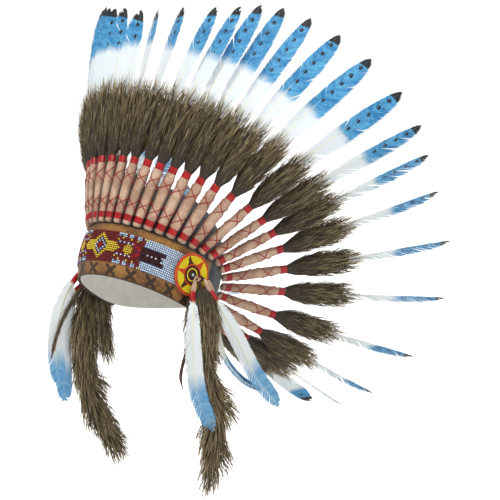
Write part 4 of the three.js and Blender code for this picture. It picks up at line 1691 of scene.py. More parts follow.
@dataclass
class Sleeves:
    """The suede sleeves at the feathers' feet, with their red windings and laces."""

    length: float = 93.0
    width: float = 15.5
    depth: float = 10.5
    sides: int = 18
    lower_wrap: tuple[float, float] = (5.6, 14.2)
    upper_wrap: tuple[float, float] = (82.0, 91.5)
    ribs: int = 7
    lace_points: int = 44

    def girth(self, along: Points) -> Points:
        """Gives the sleeve's width at a distance from its foot, as a share of its widest."""
        stops = [0, 0.6, 1.8, 3.5, 5.4, 7, 13, 15.5, 28, 48, 66, 79, 82, 91, 96]
        shares = [0.34, 0.6, 0.8, 0.86, 0.83, 0.78, 0.79, 0.86, 0.95, 1.0, 0.96, 0.86, 0.78, 0.74, 0.6]
        return np.interp(along, stops, shares)

    def radii(self, slices: Slices, along: Points) -> tuple[Points, Points]:
        """Gives the half width and half depth at each frame, inside the room to its neighbours."""
        girth = self.girth(along)
        room = slices.room - 0.45 * smooth(60, 20, along)
        return np.minimum(girth * self.width / 2, room), girth * self.depth / 2

    def build(self, fan: FeatherFan, side: Side) -> tuple[Object, Object, Object]:
        """Builds one side's sleeves.

        Args:
            fan: The feathers' ring.
            side: The side.

        Returns:
            The sleeves, their windings and the laces' centrelines.
        """
        rng = np.random.default_rng(21 + side.value)
        suede, floss, laces = MeshData(), MeshData(), MeshData()
        foot, neck = (0, 0.6, 1.8, 3.5, 5.4, 7, 10, 13, 15.5, 20), (74, 79, 82, 87, 91, 96)
        along = np.array([*foot, *range(26, 69, 7), *neck])
        angles, flip = circle(self.sides), side is Side.RIGHT
        for index in range(fan.per_side):
            slices = fan.slices(index, along).mirrored(side)
            width, depth = self.radii(slices, along)
            phase = rng.uniform(0, 2 * math.pi, 4)
            crease = 0.03 * np.sin(3 * angles[None] + phase[0] + along[:, None] / 16)
            crease = crease + 0.022 * np.sin(5 * angles[None] + phase[1] - along[:, None] / 8)
            crease = crease + 0.02 * np.sin(along[:, None] / 5.2 + phase[2] + angles[None])
            quiet = smooth(5, 14, along)[:, None] * (0.4 + 0.6 * smooth(96, 78, along)[:, None])
            rings = ring_points(slices, width, depth, self.sides, 1 + crease * quiet)
            faces = sided(loft_faces(len(along), self.sides), flip)
            # painted shade on the sleeve's sides, in the gaps between sleeves
            suede.add(rings.reshape(-1, 3), faces, shade=self._shade(slices, along))
            for start, end in (self.lower_wrap, self.upper_wrap):
                self._wind(floss, fan, index, side, start, end)
            for hand in (1, -1):
                self._lace(laces, fan, index, side, hand, rng.uniform(-0.02, 0.02))
        pieces = (suede.to_object(f"sleeves_{side.word}"), floss.to_object(f"windings_{side.word}"))
        starts = range(0, laces.count, self.lace_points)
        last = self.lace_points - 1
        edges = [(place, place + 1) for start in starts for place in range(start, start + last)]
        return (*pieces, thread_line(np.vstack(laces.points), edges))

    def _wind(
        self, data: MeshData, fan: FeatherFan, index: int, side: Side, start: float, end: float
    ) -> None:
        """Winds ribbed floss round a sleeve between two distances from its foot."""
        along, rise = ribbed(start, end, self.ribs, 0.02, 0.62)
        slices = fan.slices(index, along).mirrored(side)
        width, depth = self.radii(slices, along)
        rings = ring_points(slices, width + rise * 0.3, depth + rise, self.sides)
        faces = sided(loft_faces(len(along), self.sides), side is Side.RIGHT)
        # painted shade on the winding's sides, in the gaps between windings
        data.add(rings.reshape(-1, 3), faces, shade=self._shade(slices, along))

    def _shade(self, slices: Slices, along: Points) -> Points:
        """Gives each ring point's painted shade, from how far it lies in the gap to the next sleeve."""
        around = np.abs(np.cos(circle(self.sides)))
        near = smooth(1.6, 0.0, slices.room - self.girth(along) * self.width / 2)
        return (smooth(0.5, 0.96, around)[None] * (0.35 + 0.65 * near[:, None])).ravel()

    def _lace(self, data: MeshData, fan: FeatherFan, index: int, side: Side, hand: int, slip: float) -> None:
        """Lays one lace round a sleeve; two of opposite hands cross on its outer face."""
        share = np.linspace(0.14, 0.9, self.lace_points)
        along = share * self.length
        slices = fan.slices(index, along).mirrored(side)
        width, depth = self.radii(slices, along)
        angle = -math.pi / 2 + hand * 2 * math.pi * (share + slip - 0.3) / 0.4
        lift = 0.28
        data.add(slices.place((width + lift) * np.cos(angle), (depth + lift) * np.sin(angle)), [])


@dataclass
class Tufts:
    """The fur tufts that hide where the feathers leave their sleeves."""

    start: float = 93.0
    length: float = 93.0
    width: float = 32.0
    depth: float = 24.0
    sides: int = 12
    density: float = 112000.0
    strand: float = 0.0235

    def reach(self, fan: FeatherFan, index: int) -> float:
        """Gives a tuft's own length, which a short feather shortens."""
        return min(self.length, (fan.paths[index].length - self.start) / 2)

    def build(self, fan: FeatherFan, side: Side, span: range, material: Material) -> Object:
        """Builds some of one side's tufts: a soft body under each and its strands.

        Args:
            fan: The feathers' ring.
            side: The side.
            span: Which feathers.
            material: The fur.

        Returns:
            The tufts as one piece.
        """
        rng = np.random.default_rng(31 + side.value)
        data = MeshData()
        shares = np.array([-0.02, 0.04, 0.12, 0.25, 0.4, 0.55, 0.68, 0.79, 0.87, 0.92])
        girths = np.array([0.36, 0.48, 0.68, 0.84, 0.9, 0.9, 0.82, 0.64, 0.36, 0.12])
        for index in span:
            reach = self.reach(fan, index)
            along = self.start + shares * reach
            slices = fan.slices(index, along).mirrored(side)
            width = np.minimum(girths * self.width / 2, np.maximum(slices.room * 1.02, 3.0))
            bulge = 1 + 0.12 * np.sin(rng.uniform(0, 6, (1, self.sides)) + shares[:, None] * 9)
            rings = ring_points(slices, width, girths * self.depth / 2, self.sides, bulge)
            outward = unit(rings - slices.here[:, None])
            flow = slices.direction[:, None] + outward * (0.18 * smooth(0.5, 1.0, shares))[:, None, None]
            fluff = np.repeat(np.interp(shares, [0, 0.2, 0.6, 1.0], [0.6, 0.85, 1.05, 1.35]), self.sides)
            data.add(
                rings.reshape(-1, 3), sided(loft_faces(len(along), self.sides), side is Side.RIGHT),
                flow=unit(flow).reshape(-1, 3), fluff=fluff, ramp=np.full(fluff.shape, 0.1),
                shade=np.full(fluff.shape, 0.3),
            )
        name = f"fur_tufts_{side.word}_{span.start + 1:02d}"
        return grow_fur(name, data, FurLay(self.density, self.strand, 0.34, 0.2, 3 + side.value), material)


@dataclass
class Vane:
    """A feather's vane: barb groups on both sides of a rachis, in a slice's twisted plane.

    Attributes:
        wide: The broad side's reach in millimetres.
        narrow: The narrow side's reach.
        twist: How far the vane is turned round its own line.
        pitch: The distance between barb groups.
        foot: Where the fluffy foot ends, in millimetres from the vane's start.
        loose: How unevenly its barbs lie, against the usual.
    """

    wide: float = 20.0
    narrow: float = 10.5
    twist: float = math.radians(24)
    pitch: float = 3.0
    thickness: float = 0.34
    foot: float = 41.0
    fold: float = 0.1
    loose: float = 0.7
    stops: tuple[float, ...] = (0, 0.08, 0.2, 0.34, 0.5, 0.7, 0.84, 0.92, 0.97, 1.0, 1.2)
    reaches: tuple[float, ...] = (0.42, 0.62, 0.84, 0.97, 1.0, 0.97, 0.82, 0.62, 0.4, 0.0, 0.0)

    def outline(self, share: Points) -> Points:
        """Gives the vane's reach to one side at a share of its length, as a share of its widest."""
        return np.interp(share, self.stops, self.reaches)

    def plane(self, slices: Slices) -> tuple[Points, Points]:
        """Gives the vane's sideways and outward directions, turned by its twist."""
        cosine, sine = math.cos(self.twist), math.sin(self.twist)
        return slices.across * cosine - slices.face * sine, slices.across * sine + slices.face * cosine

    @property
    def shift(self) -> float:
        """How far the rachis lies from the vane's middle."""
        return (self.wide - self.narrow) / 2 * 0.9

    def _lengths(self, roots: Points, lean: Points, start: float, end: float, breadth: float) -> Points:
        """Finds how long each barb group is, from where it meets the vane's outline."""
        length = np.full(len(roots), 6.0)
        for _ in range(12):
            share = (roots + length * np.cos(lean) - start) / (end - start)
            goal = breadth * self.outline(share) / np.sin(lean)
            length = length * 0.4 + np.clip(goal, 0.6, 60) * 0.6
        return length

    def _blades(self, centre: Points, ahead: Points, out: Points, half: Points, tip: Points) -> Points:
        """Gives the four-sided ring at each place of each barb group."""
        edge, thin = out * 0.12, out * (self.thickness / 2)
        middle = centre + ahead * tip
        front, back = centre + ahead * (tip - half) + edge, centre + ahead * (tip + half) - edge
        return np.stack([front, middle - thin, back, middle + thin], axis=1)

    def barbs(
        self, data: MeshData, frames: Frames, start: float, end: float, zero: float, seed: float,
        rng: np.random.Generator, flip: bool,
    ) -> None:
        """Adds the barb groups of one feather.

        Args:
            data: The mesh that they go to.
            frames: A function from distances along the feather to its slices.
            start: Where the vane starts.
            end: Where it ends.
            zero: The distance that Along counts from.
            seed: The feather's own number from 0 to 1.
            rng: Random numbers.
            flip: Whether the feather is a mirrored one.
        """
        steps = np.array([0.0, 0.42, 0.8, 1.0])
        for hand, breadth, angle in ((1, self.wide, 38.0), (-1, self.narrow, 33.0)):
            roots = np.arange(start, end - 1.0, self.pitch * (1.0 if hand > 0 else 1.15))
            count = len(roots)
            drift = np.cumsum(rng.normal(0, 0.7 * self.loose, count))
            drift -= np.linspace(drift[0], drift[-1], count)
            split = np.repeat(rng.normal(0, 3.2 * self.loose, count // 5 + 2), 5)
            split = split[rng.integers(0, 4):][:count]
            fluffy = smooth(start + self.foot * 1.2, start, roots)
            lean = np.radians(angle + drift + split + fluffy * (12 + rng.normal(0, 5, count)))
            length = self._lengths(roots, lean, start, end, breadth)
            length = length * (1 - 0.07 * rng.random(count) * (1 + 1.6 * fluffy))
            length = np.minimum(length, (end - roots) / np.cos(lean) * 0.99 + 0.3)
            span = steps[None] * length[:, None]
            along = roots[:, None] + span * np.cos(lean)[:, None]
            aside = hand * span * np.sin(lean)[:, None]
            slices = frames(along.ravel())
            side, out = self.plane(slices)
            offset = (aside - self.shift).ravel()[:, None]
            cup = -0.006 * aside**2 * (0.6 + 0.4 * fluffy[:, None]) - self.fold * np.abs(aside)
            loose = (rng.normal(0, 0.5, count) * (0.35 + 1.6 * fluffy))[:, None] * steps[None]
            stack = 0.16 * (np.arange(count) % 2)[:, None]
            lift = (cup + loose + stack).ravel()[:, None]
            centre = slices.here + side * offset + out * lift
            turn = np.repeat(lean, len(steps))[:, None]
            ahead = side * (-hand * np.cos(turn)) + slices.direction * np.sin(turn)
            half = self.pitch * np.sin(lean)[:, None] * np.array([0.62, 0.7, 0.62, 0.14])[None]
            tip = np.array([0.0, 0.0, 0.12, 0.75])[None] * half.max(axis=1)[:, None]
            ring = self._blades(centre, ahead, out, half.ravel()[:, None], tip.ravel()[:, None])
            faces = sided(loft_faces(len(steps), 4), (hand > 0) == flip)
            per = len(steps) * 4
            every = [tuple(i + blade * per for i in face) for blade in range(count) for face in faces]
            far = along.ravel()
            data.add(
                ring.reshape(-1, 3),
                every,
                along=np.repeat(far - zero, 4),
                across=np.repeat(aside.ravel(), 4),
                left=np.repeat(end - far, 4),
                seed=np.full(len(far) * 4, seed),
            )

    def rachis(
        self, data: MeshData, frames: Frames, start: float, end: float, zero: float, thick: float, flip: bool
    ) -> None:
        """Adds the rachis of one feather, a tapered quill down the vane.

        Args:
            data: The mesh that it goes to.
            frames: A function from distances along the feather to its slices.
            start: Where the quill starts.
            end: Where the vane ends.
            zero: The distance that Along counts from.
            thick: The quill's radius at its start.
            flip: Whether the feather is a mirrored one.
        """
        along = np.linspace(start, end - 2.5, 22)
        slices = frames(along)
        side, out = self.plane(slices)
        shift = -self.shift * smooth(start, start + 30, along)
        here = slices.here + side * shift[:, None] + out * 0.15
        turned = replace(slices, here=here, across=side, face=out)
        radius = thick * (1 - 0.78 * np.linspace(0, 1, len(along)))
        rings = ring_points(turned, radius, radius * 0.8, 6)
        faces = sided(loft_faces(len(along), 6), flip)
        away, left = np.repeat(along - zero, 6), np.repeat(end - along, 6)
        data.add(rings.reshape(-1, 3), faces, along=away, left=left)


@dataclass(frozen=True)
class QuillFinish:
    """A feather's quill: cream at its foot, dyed further up and black at the tip."""

    name: str
    cream: Colour
    dyed: Colour
    black: Colour
    foot: float = 58.0

    def build(self) -> Material:
        """Builds the material."""
        material, sheet, shader = start_material(self.name, 0.42)
        along, left = sheet.attribute("along"), sheet.attribute("left")
        stain = patches(sheet, 120.0)
        moved = sheet.times_plus(stain, 8.0, along)
        colour = sheet.blend(sheet.ease(moved, self.foot, self.foot + 22), self.cream, self.dyed)
        colour = sheet.blend(sheet.ease(left, 6.5, 8.5, 1.0, 0.0), colour, self.black)
        paint(sheet, shader, colour)
        raise_nap(sheet, shader, 1200.0, 0.2, 0.0001)
        return material


# The sleeve suede takes painted shade from its Shade value in the gaps between sleeves.
TAN_SUEDE = SoftFinish(
    "sleeve_suede", tone(164, 126, 102), tone(214, 180, 154), patch=42.0, grain=900.0, depth=0.0004,
    roughness=0.9, sheen=0.06, worn=tone(140, 112, 84), spots=0.45, crowded=0.8,
)
RED_FLOSS = ThreadFinish("red_floss", tone(198, 2, 8), tone(138, 0, 4), roughness=0.3)
LACE_THREAD = ThreadFinish("red_lace", tone(176, 12, 22), tone(120, 4, 12), roughness=0.55)
WHITE_THREAD = ThreadFinish("white_thread", tone(232, 230, 222), tone(190, 188, 178), roughness=0.6)
TUFT_FUR = FurFinish("tuft_fur", tone(50, 38, 22), tone(106, 88, 54), tone(204, 186, 142))
BLUE_VANE = VaneFinish(
    "dyed_vane", tone(236, 244, 247), tone(34, 128, 186), tone(84, 172, 218), tone(158, 214, 238),
    tone(22, 24, 26),
)
BLUE_QUILL = QuillFinish("dyed_quill", tone(242, 238, 212), tone(86, 166, 214), tone(26, 28, 30))


@dataclass
class FeatherWork:
    """The crown of feathers with everything on them."""

    fan: FeatherFan = field(default_factory=FeatherFan)
    sleeves: Sleeves = field(default_factory=Sleeves)
    tufts: Tufts = field(default_factory=Tufts)
    vane: Vane = field(default_factory=Vane)
    turn: float = math.radians(-60)

    def vanes(self, side: Side) -> tuple[Object, Object]:
        """Builds one side's vanes and their quills."""
        rng = np.random.default_rng(41 + side.value)
        blades, quills = MeshData(), MeshData()
        for index, path in enumerate(self.fan.paths):
            foot = self.tufts.start + self.tufts.reach(self.fan, index)
            start = foot - 16.0

            def frames(along: Points, place: int = index) -> Slices:
                """Gives the feather's slices on this side."""
                return self.fan.slices(place, along).mirrored(side)

            flip = side is Side.RIGHT
            turned = self.turn * float(smooth(7.5, 12.0, index)) + rng.normal(0, math.radians(5))
            vane = replace(self.vane, twist=self.vane.twist + turned)
            vane.barbs(blades, frames, start, path.length, foot, rng.random(), rng, flip)
            vane.rachis(quills, frames, foot - 60, path.length, foot, 1.35, flip)
        return blades.to_object(f"vanes_{side.word}"), quills.to_object(f"quills_{side.word}")

    def spacer(self, material: Material) -> Object:
        """Strings the white thread that keeps the feathers apart, through the ends of their tufts."""
        stops = []
        for side, order in ((Side.RIGHT, range(17, -1, -1)), (Side.LEFT, range(18))):
            for index in order:
                along = self.tufts.start + self.tufts.reach(self.fan, index) - 12
                frame = self.fan.slices(index, np.array([along])).mirrored(side)
                stops.append(frame.place(0.0, 1.6)[0])
        stops = np.array(stops)
        rows = []
        for here, after in zip(stops, np.roll(stops, -1, axis=0)):
            share = np.linspace(0, 1, 5)[:-1, None]
            sag = np.array([0, 0, -1.0]) * np.sin(share * math.pi) * np.linalg.norm(after - here) * 0.03
            rows.append(here * (1 - share) + after * share + sag)
        points = np.vstack(rows)
        line = thread_line(points, loop_edges(len(points)))
        return spun(line, "spacing_thread", 0.00034, 5, material)

    def dress(self) -> None:
        """Builds all the crown feathers in their finishes."""
        suede, floss, lace = TAN_SUEDE.build(), RED_FLOSS.build(), LACE_THREAD.build()
        fur, dyed, quill = TUFT_FUR.build(), BLUE_VANE.build(), BLUE_QUILL.build()
        for side in Side:
            nodes = [f"feather_{side.word}_{place:02d}" for place in range(1, 19)]
            sleeves, windings, line = self.sleeves.build(self.fan, side)
            laces = spun(line, f"laces_{side.word}", 0.0006, 5, lace)
            tufts = [self.tufts.build(self.fan, side, span, fur) for span in (range(9), range(9, 18))]
            vanes, quills = self.vanes(side)
            for piece in (sleeves, windings, laces, *tufts, vanes, quills):
                shade_smooth(piece, 70)
            settle(sleeves, Slot.SUEDE, suede)
            settle(windings, Slot.FEATHER, floss)
            settle(laces, Slot.FEATHER, None)
            for tuft in tufts:
                settle(tuft, Slot.FUR, None)
            settle(vanes, Slot.FEATHER, dyed, *nodes)
            settle(quills, Slot.FEATHER, quill)
        settle(self.spacer(WHITE_THREAD.build()), Slot.FEATHER, None)


Route = tuple[tuple[float, float, float], ...]

ROUTES: dict[str, Route] = {
    "drop_front_left": (
        (3, 8, 1.9), (-7.5, 26.5, 9), (-12, 40.5, 17), (-15, 92.5, 21), (-5, 159.5, 20), (23, 208.5, 17),
    ),
    "drop_back_left": (
        (19, 6, 1.9), (24, 23.5, 9), (31, 36.5, 15), (62, 86.5, 20), (97, 137.5, 18), (141, 180.5, 14),
    ),
    "drop_small_left": (
        (25, 8, 1.9), (33, 28.5, 3), (40, 64.5, 2), (56, 112.5, 1), (86, 142.5, 0), (120, 159.5, -1),
    ),
    "fur_tail_left": (
        (11, 9, 1.4), (13, 36.5, 5), (13, 124.5, 7), (31, 174.5, 8), (27, 236.5, 8), (22, 294.5, 8),
    ),
    "fur_lobe_left": ((14, 22, -5.5), (20, 42, -6.5), (26, 66.5, -8), (38, 94.5, -8.5), (50, 122.5, -8.5)),
    "drop_front_right": (
        (-9, 4, 1.9), (-22, 19.5, 9), (-33, 31.5, 15), (-46, 74.5, 19), (-49, 129.5, 19), (-47, 176.5, 16),
    ),
    "drop_back_right": (
        (-17, -3, 1.9), (-30, 3.5, 4.6), (-44, 16.5, 7), (-66, 56.5, 8), (-74, 104.5, 8), (-70, 152.5, 6),
    ),
    "fur_tail_right": (
        (-2, 12, 1.4), (-12, 36.5, 5), (-22, 98.5, 6), (-14, 154.5, 8), (22, 210.5, 8), (66, 264.5, 8),
    ),
    "fur_lobe_right": ((5, 24, -4.85), (2, 44, -7), (1, 66.5, -8.5), (4, 94.5, -9.5), (12, 120.5, -9.5)),
    "thong_left": ((1, 10, 1.2), (-3, 40, 2), (-12, 94, 3), (-21, 120, 4), (-24, 137, 4), (-20, 152, 4)),
    "thong_right": ((-22, 16, 1.2), (-46, 38, 2), (-68, 66, 3), (-82, 92, 3), (-90, 116, 3)),
}


@dataclass
class HangingLine:
    """The smooth line that a hanging piece follows from its rosette."""

    rosette: Rosette
    route: Route

    def __post_init__(self) -> None:
        """Samples a centripetal curve through the route's stops."""
        disc = self.rosette
        lift = disc.thickness
        stops = np.array([
            disc.centre + disc.back * back + disc.out * (out + lift) + np.array([0, 0, -down])
            for back, down, out in self.route
        ])
        ends = np.vstack([2 * stops[0] - stops[1], stops, 2 * stops[-1] - stops[-2]])
        samples = [stops[0]]
        for place in range(1, len(ends) - 2):
            a, b, c, d = ends[place - 1:place + 3]
            first, second, third = (math.sqrt(np.linalg.norm(q - p)) for p, q in ((a, b), (b, c), (c, d)))
            enter = ((b - a) / first - (c - a) / (first + second) + (c - b) / second) * second
            leave = ((c - b) / second - (d - b) / (second + third) + (d - c) / third) * second
            samples.extend(hermite(share, b, c, enter, leave) for share in np.linspace(0, 1, 41)[1:])
        self.samples = np.array(samples)
        self.reach = gauge(self.samples)
        self.length = float(self.reach[-1])

    def at(self, along: Points) -> Points:
        """Gives the line's points at distances from its start."""
        return np.stack([np.interp(along, self.reach, self.samples[:, axis]) for axis in range(3)], axis=-1)

    def slices(self, along: Points) -> Slices:
        """Gives the line's frames at distances from its start, each facing as the rosette does."""
        along = np.clip(np.asarray(along, float), 0.0, self.length)
        direction = unit(self.at(np.minimum(along + 1, self.length)) - self.at(np.maximum(along - 1, 0)))
        across = unit(np.cross(direction, self.rosette.out) * -self.rosette.side.value)
        room = np.full(len(along), 50.0)
        return Slices(self.at(along), direction, across, np.cross(direction, across), room)


@dataclass
class DropFeather:
    """A feather that hangs from a rosette on a suede sleeve with a red winding."""

    name: str
    line: HangingLine
    vane: Vane
    sleeve: float = 34.0
    width: float = 8.5
    winding: tuple[float, float] = (18.0, 33.0)

    def build(self, seed: int) -> tuple[Object, Object, Object, Object]:
        """Builds the sleeve, its winding, the vane and the quill."""
        suede, floss, blades, quill = MeshData(), MeshData(), MeshData(), MeshData()
        along = np.array([0, 1, 3, 6, 10, 14, 17, 19, 26, 32, 34.5])
        girth = np.array([0.4, 0.52, 0.62, 0.78, 0.92, 0.98, 0.94, 0.84, 0.8, 0.78, 0.6])
        radius = girth * self.width / 2
        slices = self.line.slices(along)
        bulge = 1 + 0.05 * np.sin(3 * circle(14)[None] + along[:, None] / 4 + seed)
        rings = ring_points(slices, radius, radius * 0.82, 14, bulge)
        suede.add(rings.reshape(-1, 3), loft_faces(len(along), 14))
        wound, rise = ribbed(*self.winding, 9, 0.01, 0.6)
        radius = np.interp(wound, along, girth) * self.width / 2
        rings = ring_points(self.line.slices(wound), radius + rise, radius * 0.82 + rise, 14)
        floss.add(rings.reshape(-1, 3), loft_faces(len(wound), 14))
        rng = np.random.default_rng(seed)
        foot = self.sleeve - 3
        self.vane.barbs(blades, self.line.slices, foot, self.line.length, foot, rng.random(), rng, False)
        self.vane.rachis(quill, self.line.slices, foot - 4, self.line.length, foot, 1.25, False)
        return (
            suede.to_object(f"{self.name}_sleeve"),
            floss.to_object(f"{self.name}_winding"),
            blades.to_object(f"{self.name}_vane"),
            quill.to_object(f"{self.name}_quill"),
        )


FUR_PROFILE = (
    (0.035, 0.4), (0.06, 0.84), (0.1, 1.1), (0.18, 1.16), (0.27, 1.12), (0.36, 1.0), (0.44, 0.92),
    (0.52, 0.8), (0.6, 0.84), (0.68, 0.88), (0.76, 0.74), (0.84, 0.68), (0.89, 0.5), (0.92, 0.3), (0.94, 0.1),
)


@dataclass
class FurPiece:
    """A strip of fur that hangs: a body with strands along it and side locks that stand out."""

    name: str
    line: HangingLine
    width: float
    depth: float
    density: float = 60000.0
    strand: float = 0.03
    locks: tuple[tuple[float, float, float], ...] = ()
    strap: float = 0.075
    flare: float = 0.0

    def build(self, seed: int, material: Material) -> tuple[Object, Object]:
        """Builds the fur and its leather strap.

        Args:
            seed: A seed for the fur.
            material: The fur's finish.

        Returns:
            The fur and the strap.
        """
        rng = np.random.default_rng(seed)
        shares, girths = np.array(FUR_PROFILE).T
        girths = girths * rng.uniform(0.9, 1.08, len(girths)) * (1 + self.flare * smooth(0.32, 0.1, shares))
        sides = 12
        slices = self.line.slices(shares * self.line.length)
        angles = circle(sides)
        swell = np.ones((len(shares), sides))
        fluff = np.interp(shares, [0.035, 0.09, 0.3, 1.0], [0.6, 0.9, 1.0, 1.0])
        fluff = np.tile(fluff[:, None], (1, sides))
        push = np.full((len(shares), sides), 0.12)
        for place, angle, strength in self.locks:
            near = np.exp(-(((shares - place) / 0.05) ** 2))[:, None]
            facing = np.clip(np.cos(angles - math.radians(angle)), 0, 1)[None] ** 2
            swell += 0.35 * strength * near * facing
            fluff += 0.4 * strength * near * facing
            push += 1.0 * strength * near * facing
        rings = ring_points(slices, girths * self.width / 2, girths * self.depth / 2, sides, swell)
        outward = unit(rings - slices.here[:, None])
        flow = unit(slices.direction[:, None] + outward * push[..., None])
        data = MeshData()
        data.add(
            rings.reshape(-1, 3), loft_faces(len(shares), sides), flow=flow.reshape(-1, 3),
            fluff=fluff.ravel(), ramp=np.full(fluff.size, 0.12), shade=np.full(fluff.size, 0.35),
        )
        lay = FurLay(self.density, self.strand, 0.22, 0.22, seed)
        fur = grow_fur(f"{self.name}_fur", data, lay, material)
        along = np.linspace(0, self.strap * 1.6, 8) * self.line.length
        rings = ring_points(self.line.slices(along), np.full(8, 3.3), np.full(8, 0.95), 10)
        return fur, solid(f"{self.name}_strap", rings, loft_faces(8, 10), 50)


HIDE_LEATHER = SoftFinish(
    "dark_hide", tone(46, 30, 20), tone(92, 62, 40), patch=70.0, grain=900.0, depth=0.0004, roughness=0.8,
    sheen=0.05, worn=tone(120, 90, 60), spots=0.3,
)
TAIL_FUR = FurFinish("tail_fur", tone(56, 44, 26), tone(120, 101, 66), tone(208, 188, 148))
DROP_VANE = VaneFinish(
    "drop_vane", tone(238, 243, 244), tone(84, 156, 206), tone(132, 188, 222), tone(196, 224, 238),
    tone(40, 50, 60), foot=98.0, dot_radius=-2.0, tip=-20.0, fade=34.0,
)
SMALL_VANE = VaneFinish(
    "small_drop_vane", tone(232, 232, 222), tone(52, 120, 172), tone(92, 156, 200), tone(140, 186, 214),
    tone(40, 50, 60), foot=76.0, dot_radius=-2.0, tip=-20.0,
)
DROP_QUILL = QuillFinish(
    "drop_quill", tone(232, 232, 208), tone(150, 190, 214), tone(120, 150, 170), foot=112.0
)
TWISTS = {"drop_front_right": -0.75, "drop_back_right": -0.6, "drop_front_left": -0.4, "drop_back_left": -0.3}
LEFT_LOCKS = ((0.3, 180, 0.3), (0.56, 0, 1.7), (0.66, 180, 0.6), (0.79, 0, 1.5), (0.9, 180, 0.3))
RIGHT_LOCKS = ((0.3, 0, 0.3), (0.5, 0, 1.7), (0.62, 180, 0.7), (0.8, 0, 0.3), (0.86, 180, 0.4))
ROUND_STOPS = (0, 0.05, 0.14, 0.3, 0.5, 0.72, 0.86, 0.94, 0.985, 1.0, 1.2)
ROUND_REACHES = (0.3, 0.5, 0.78, 0.95, 0.98, 1.0, 0.95, 0.8, 0.5, 0.0, 0.0)


@dataclass
class HangingWork:
    """Everything that hangs from the two rosettes."""

    rosettes: list[Rosette]

    def line(self, name: str) -> HangingLine:
        """Gives the line of a hanging piece, by name."""
        side = Side.LEFT if name.endswith("left") else Side.RIGHT
        rosette = next(disc for disc in self.rosettes if disc.side is side)
        return HangingLine(rosette, ROUTES[name])

    def drops(self) -> None:
        """Builds and dresses the hanging feathers."""
        suede, floss = TAN_SUEDE.build(), RED_FLOSS.build()
        dyed, small, quill = DROP_VANE.build(), SMALL_VANE.build(), DROP_QUILL.build()
        for seed, name in enumerate(name for name in ROUTES if name.startswith("drop")):
            slim = "small" in name
            vane = Vane(
                wide=6.5 if slim else 15.0, narrow=5.0 if slim else 12.0, twist=TWISTS.get(name, 0.0),
                pitch=2.5, foot=26.0, fold=0.3, loose=0.3, stops=ROUND_STOPS, reaches=ROUND_REACHES,
            )
            built = DropFeather(name, self.line(name), vane).build(60 + seed)
            for piece in built:
                shade_smooth(piece, 70)
            settle(built[0], Slot.SUEDE, suede)
            settle(built[1], Slot.FEATHER, floss)
            settle(built[2], Slot.FEATHER, small if slim else dyed, name)
            settle(built[3], Slot.FEATHER, quill)

    def furs(self) -> None:
        """Builds and dresses the fur tails and lobes."""
        fur, hide = TAIL_FUR.build(), HIDE_LEATHER.build()
        tail, lobe = (33, 17, 105000), (24, 11, 105000)
        pieces = [
            FurPiece("fur_tail_left", self.line("fur_tail_left"), *tail, flare=0.35, locks=LEFT_LOCKS),
            FurPiece("fur_tail_right", self.line("fur_tail_right"), *tail, locks=RIGHT_LOCKS),
            FurPiece("fur_lobe_left", self.line("fur_lobe_left"), *lobe, strand=0.024, strap=0.03),
            FurPiece("fur_lobe_right", self.line("fur_lobe_right"), *lobe, strand=0.024, strap=0.03),
            FurPiece("thong_right_fluff", self.line("thong_right"), 5, 4, 130000, strand=0.013, strap=0.01),
        ]
        for seed, piece in enumerate(pieces):
            hair, strap = piece.build(71 + seed, fur)
            shade_smooth(hair, 70)
            nodes = () if piece.name.startswith("thong") else (piece.name,)
            settle(hair, Slot.FUR, None, *nodes)
            settle(strap, Slot.SUEDE, hide)

    def thongs(self) -> None:
        """Builds the bare hide thongs and the knots on the rosettes."""
        hide, suede = HIDE_LEATHER.build(), TAN_SUEDE.build()
        for name in ("thong_left", "thong_right"):
            line = self.line(name)
            along = np.linspace(0, line.length, 30)
            slices = line.slices(along)
            spin = along / 60
            cosine, sine = np.cos(spin)[:, None], np.sin(spin)[:, None]
            turned = replace(
                slices, across=slices.across * cosine + slices.face * sine,
                face=slices.face * cosine - slices.across * sine,
            )
            share = along / line.length
            swell = smooth(0.6, 0.82, share)
            taper = 1 - 0.75 * smooth(0.86, 1, share)
            width = (2.1 + 0.7 * swell) * taper
            thick = (0.55 + 1.7 * swell) * taper
            piece = solid(name, ring_points(turned, width, thick, 8), loft_faces(30, 8), 50)
            settle(piece, Slot.SUEDE, hide)
        for rosette in self.rosettes:
            piece = self._knot(rosette, suede)
            shade_smooth(piece)
            settle(piece, Slot.SUEDE, None)

    def _knot(self, rosette: Rosette, material: Material) -> Object:
        """Ties the thong's knot that holds the drops to a rosette."""
        turns = np.linspace(0, 2 * math.pi, 49)[:-1]
        hand = rosette.side.value
        middle = 6.0 if hand > 0 else -8.0
        back = middle + 4.6 * np.sin(turns) + 1.6 * np.sin(2 * turns)
        down = 5.5 + 2.6 * np.cos(turns) - 1.2 * np.sin(2 * turns)
        out = rosette.thickness + 1.9 + 0.9 * np.sin(3 * turns)
        points = (
            rosette.centre + rosette.back * back[:, None] + rosette.out * out[:, None]
            + np.array([0, 0, -1.0]) * down[:, None]
        )
        line = thread_line(points, loop_edges(len(points)))
        return spun(line, f"knot_{rosette.side.word}", 0.0012, 8, material)

    def dress(self) -> None:
        """Builds everything that hangs in its finishes."""
        self.drops()
        self.furs()
        self.thongs()


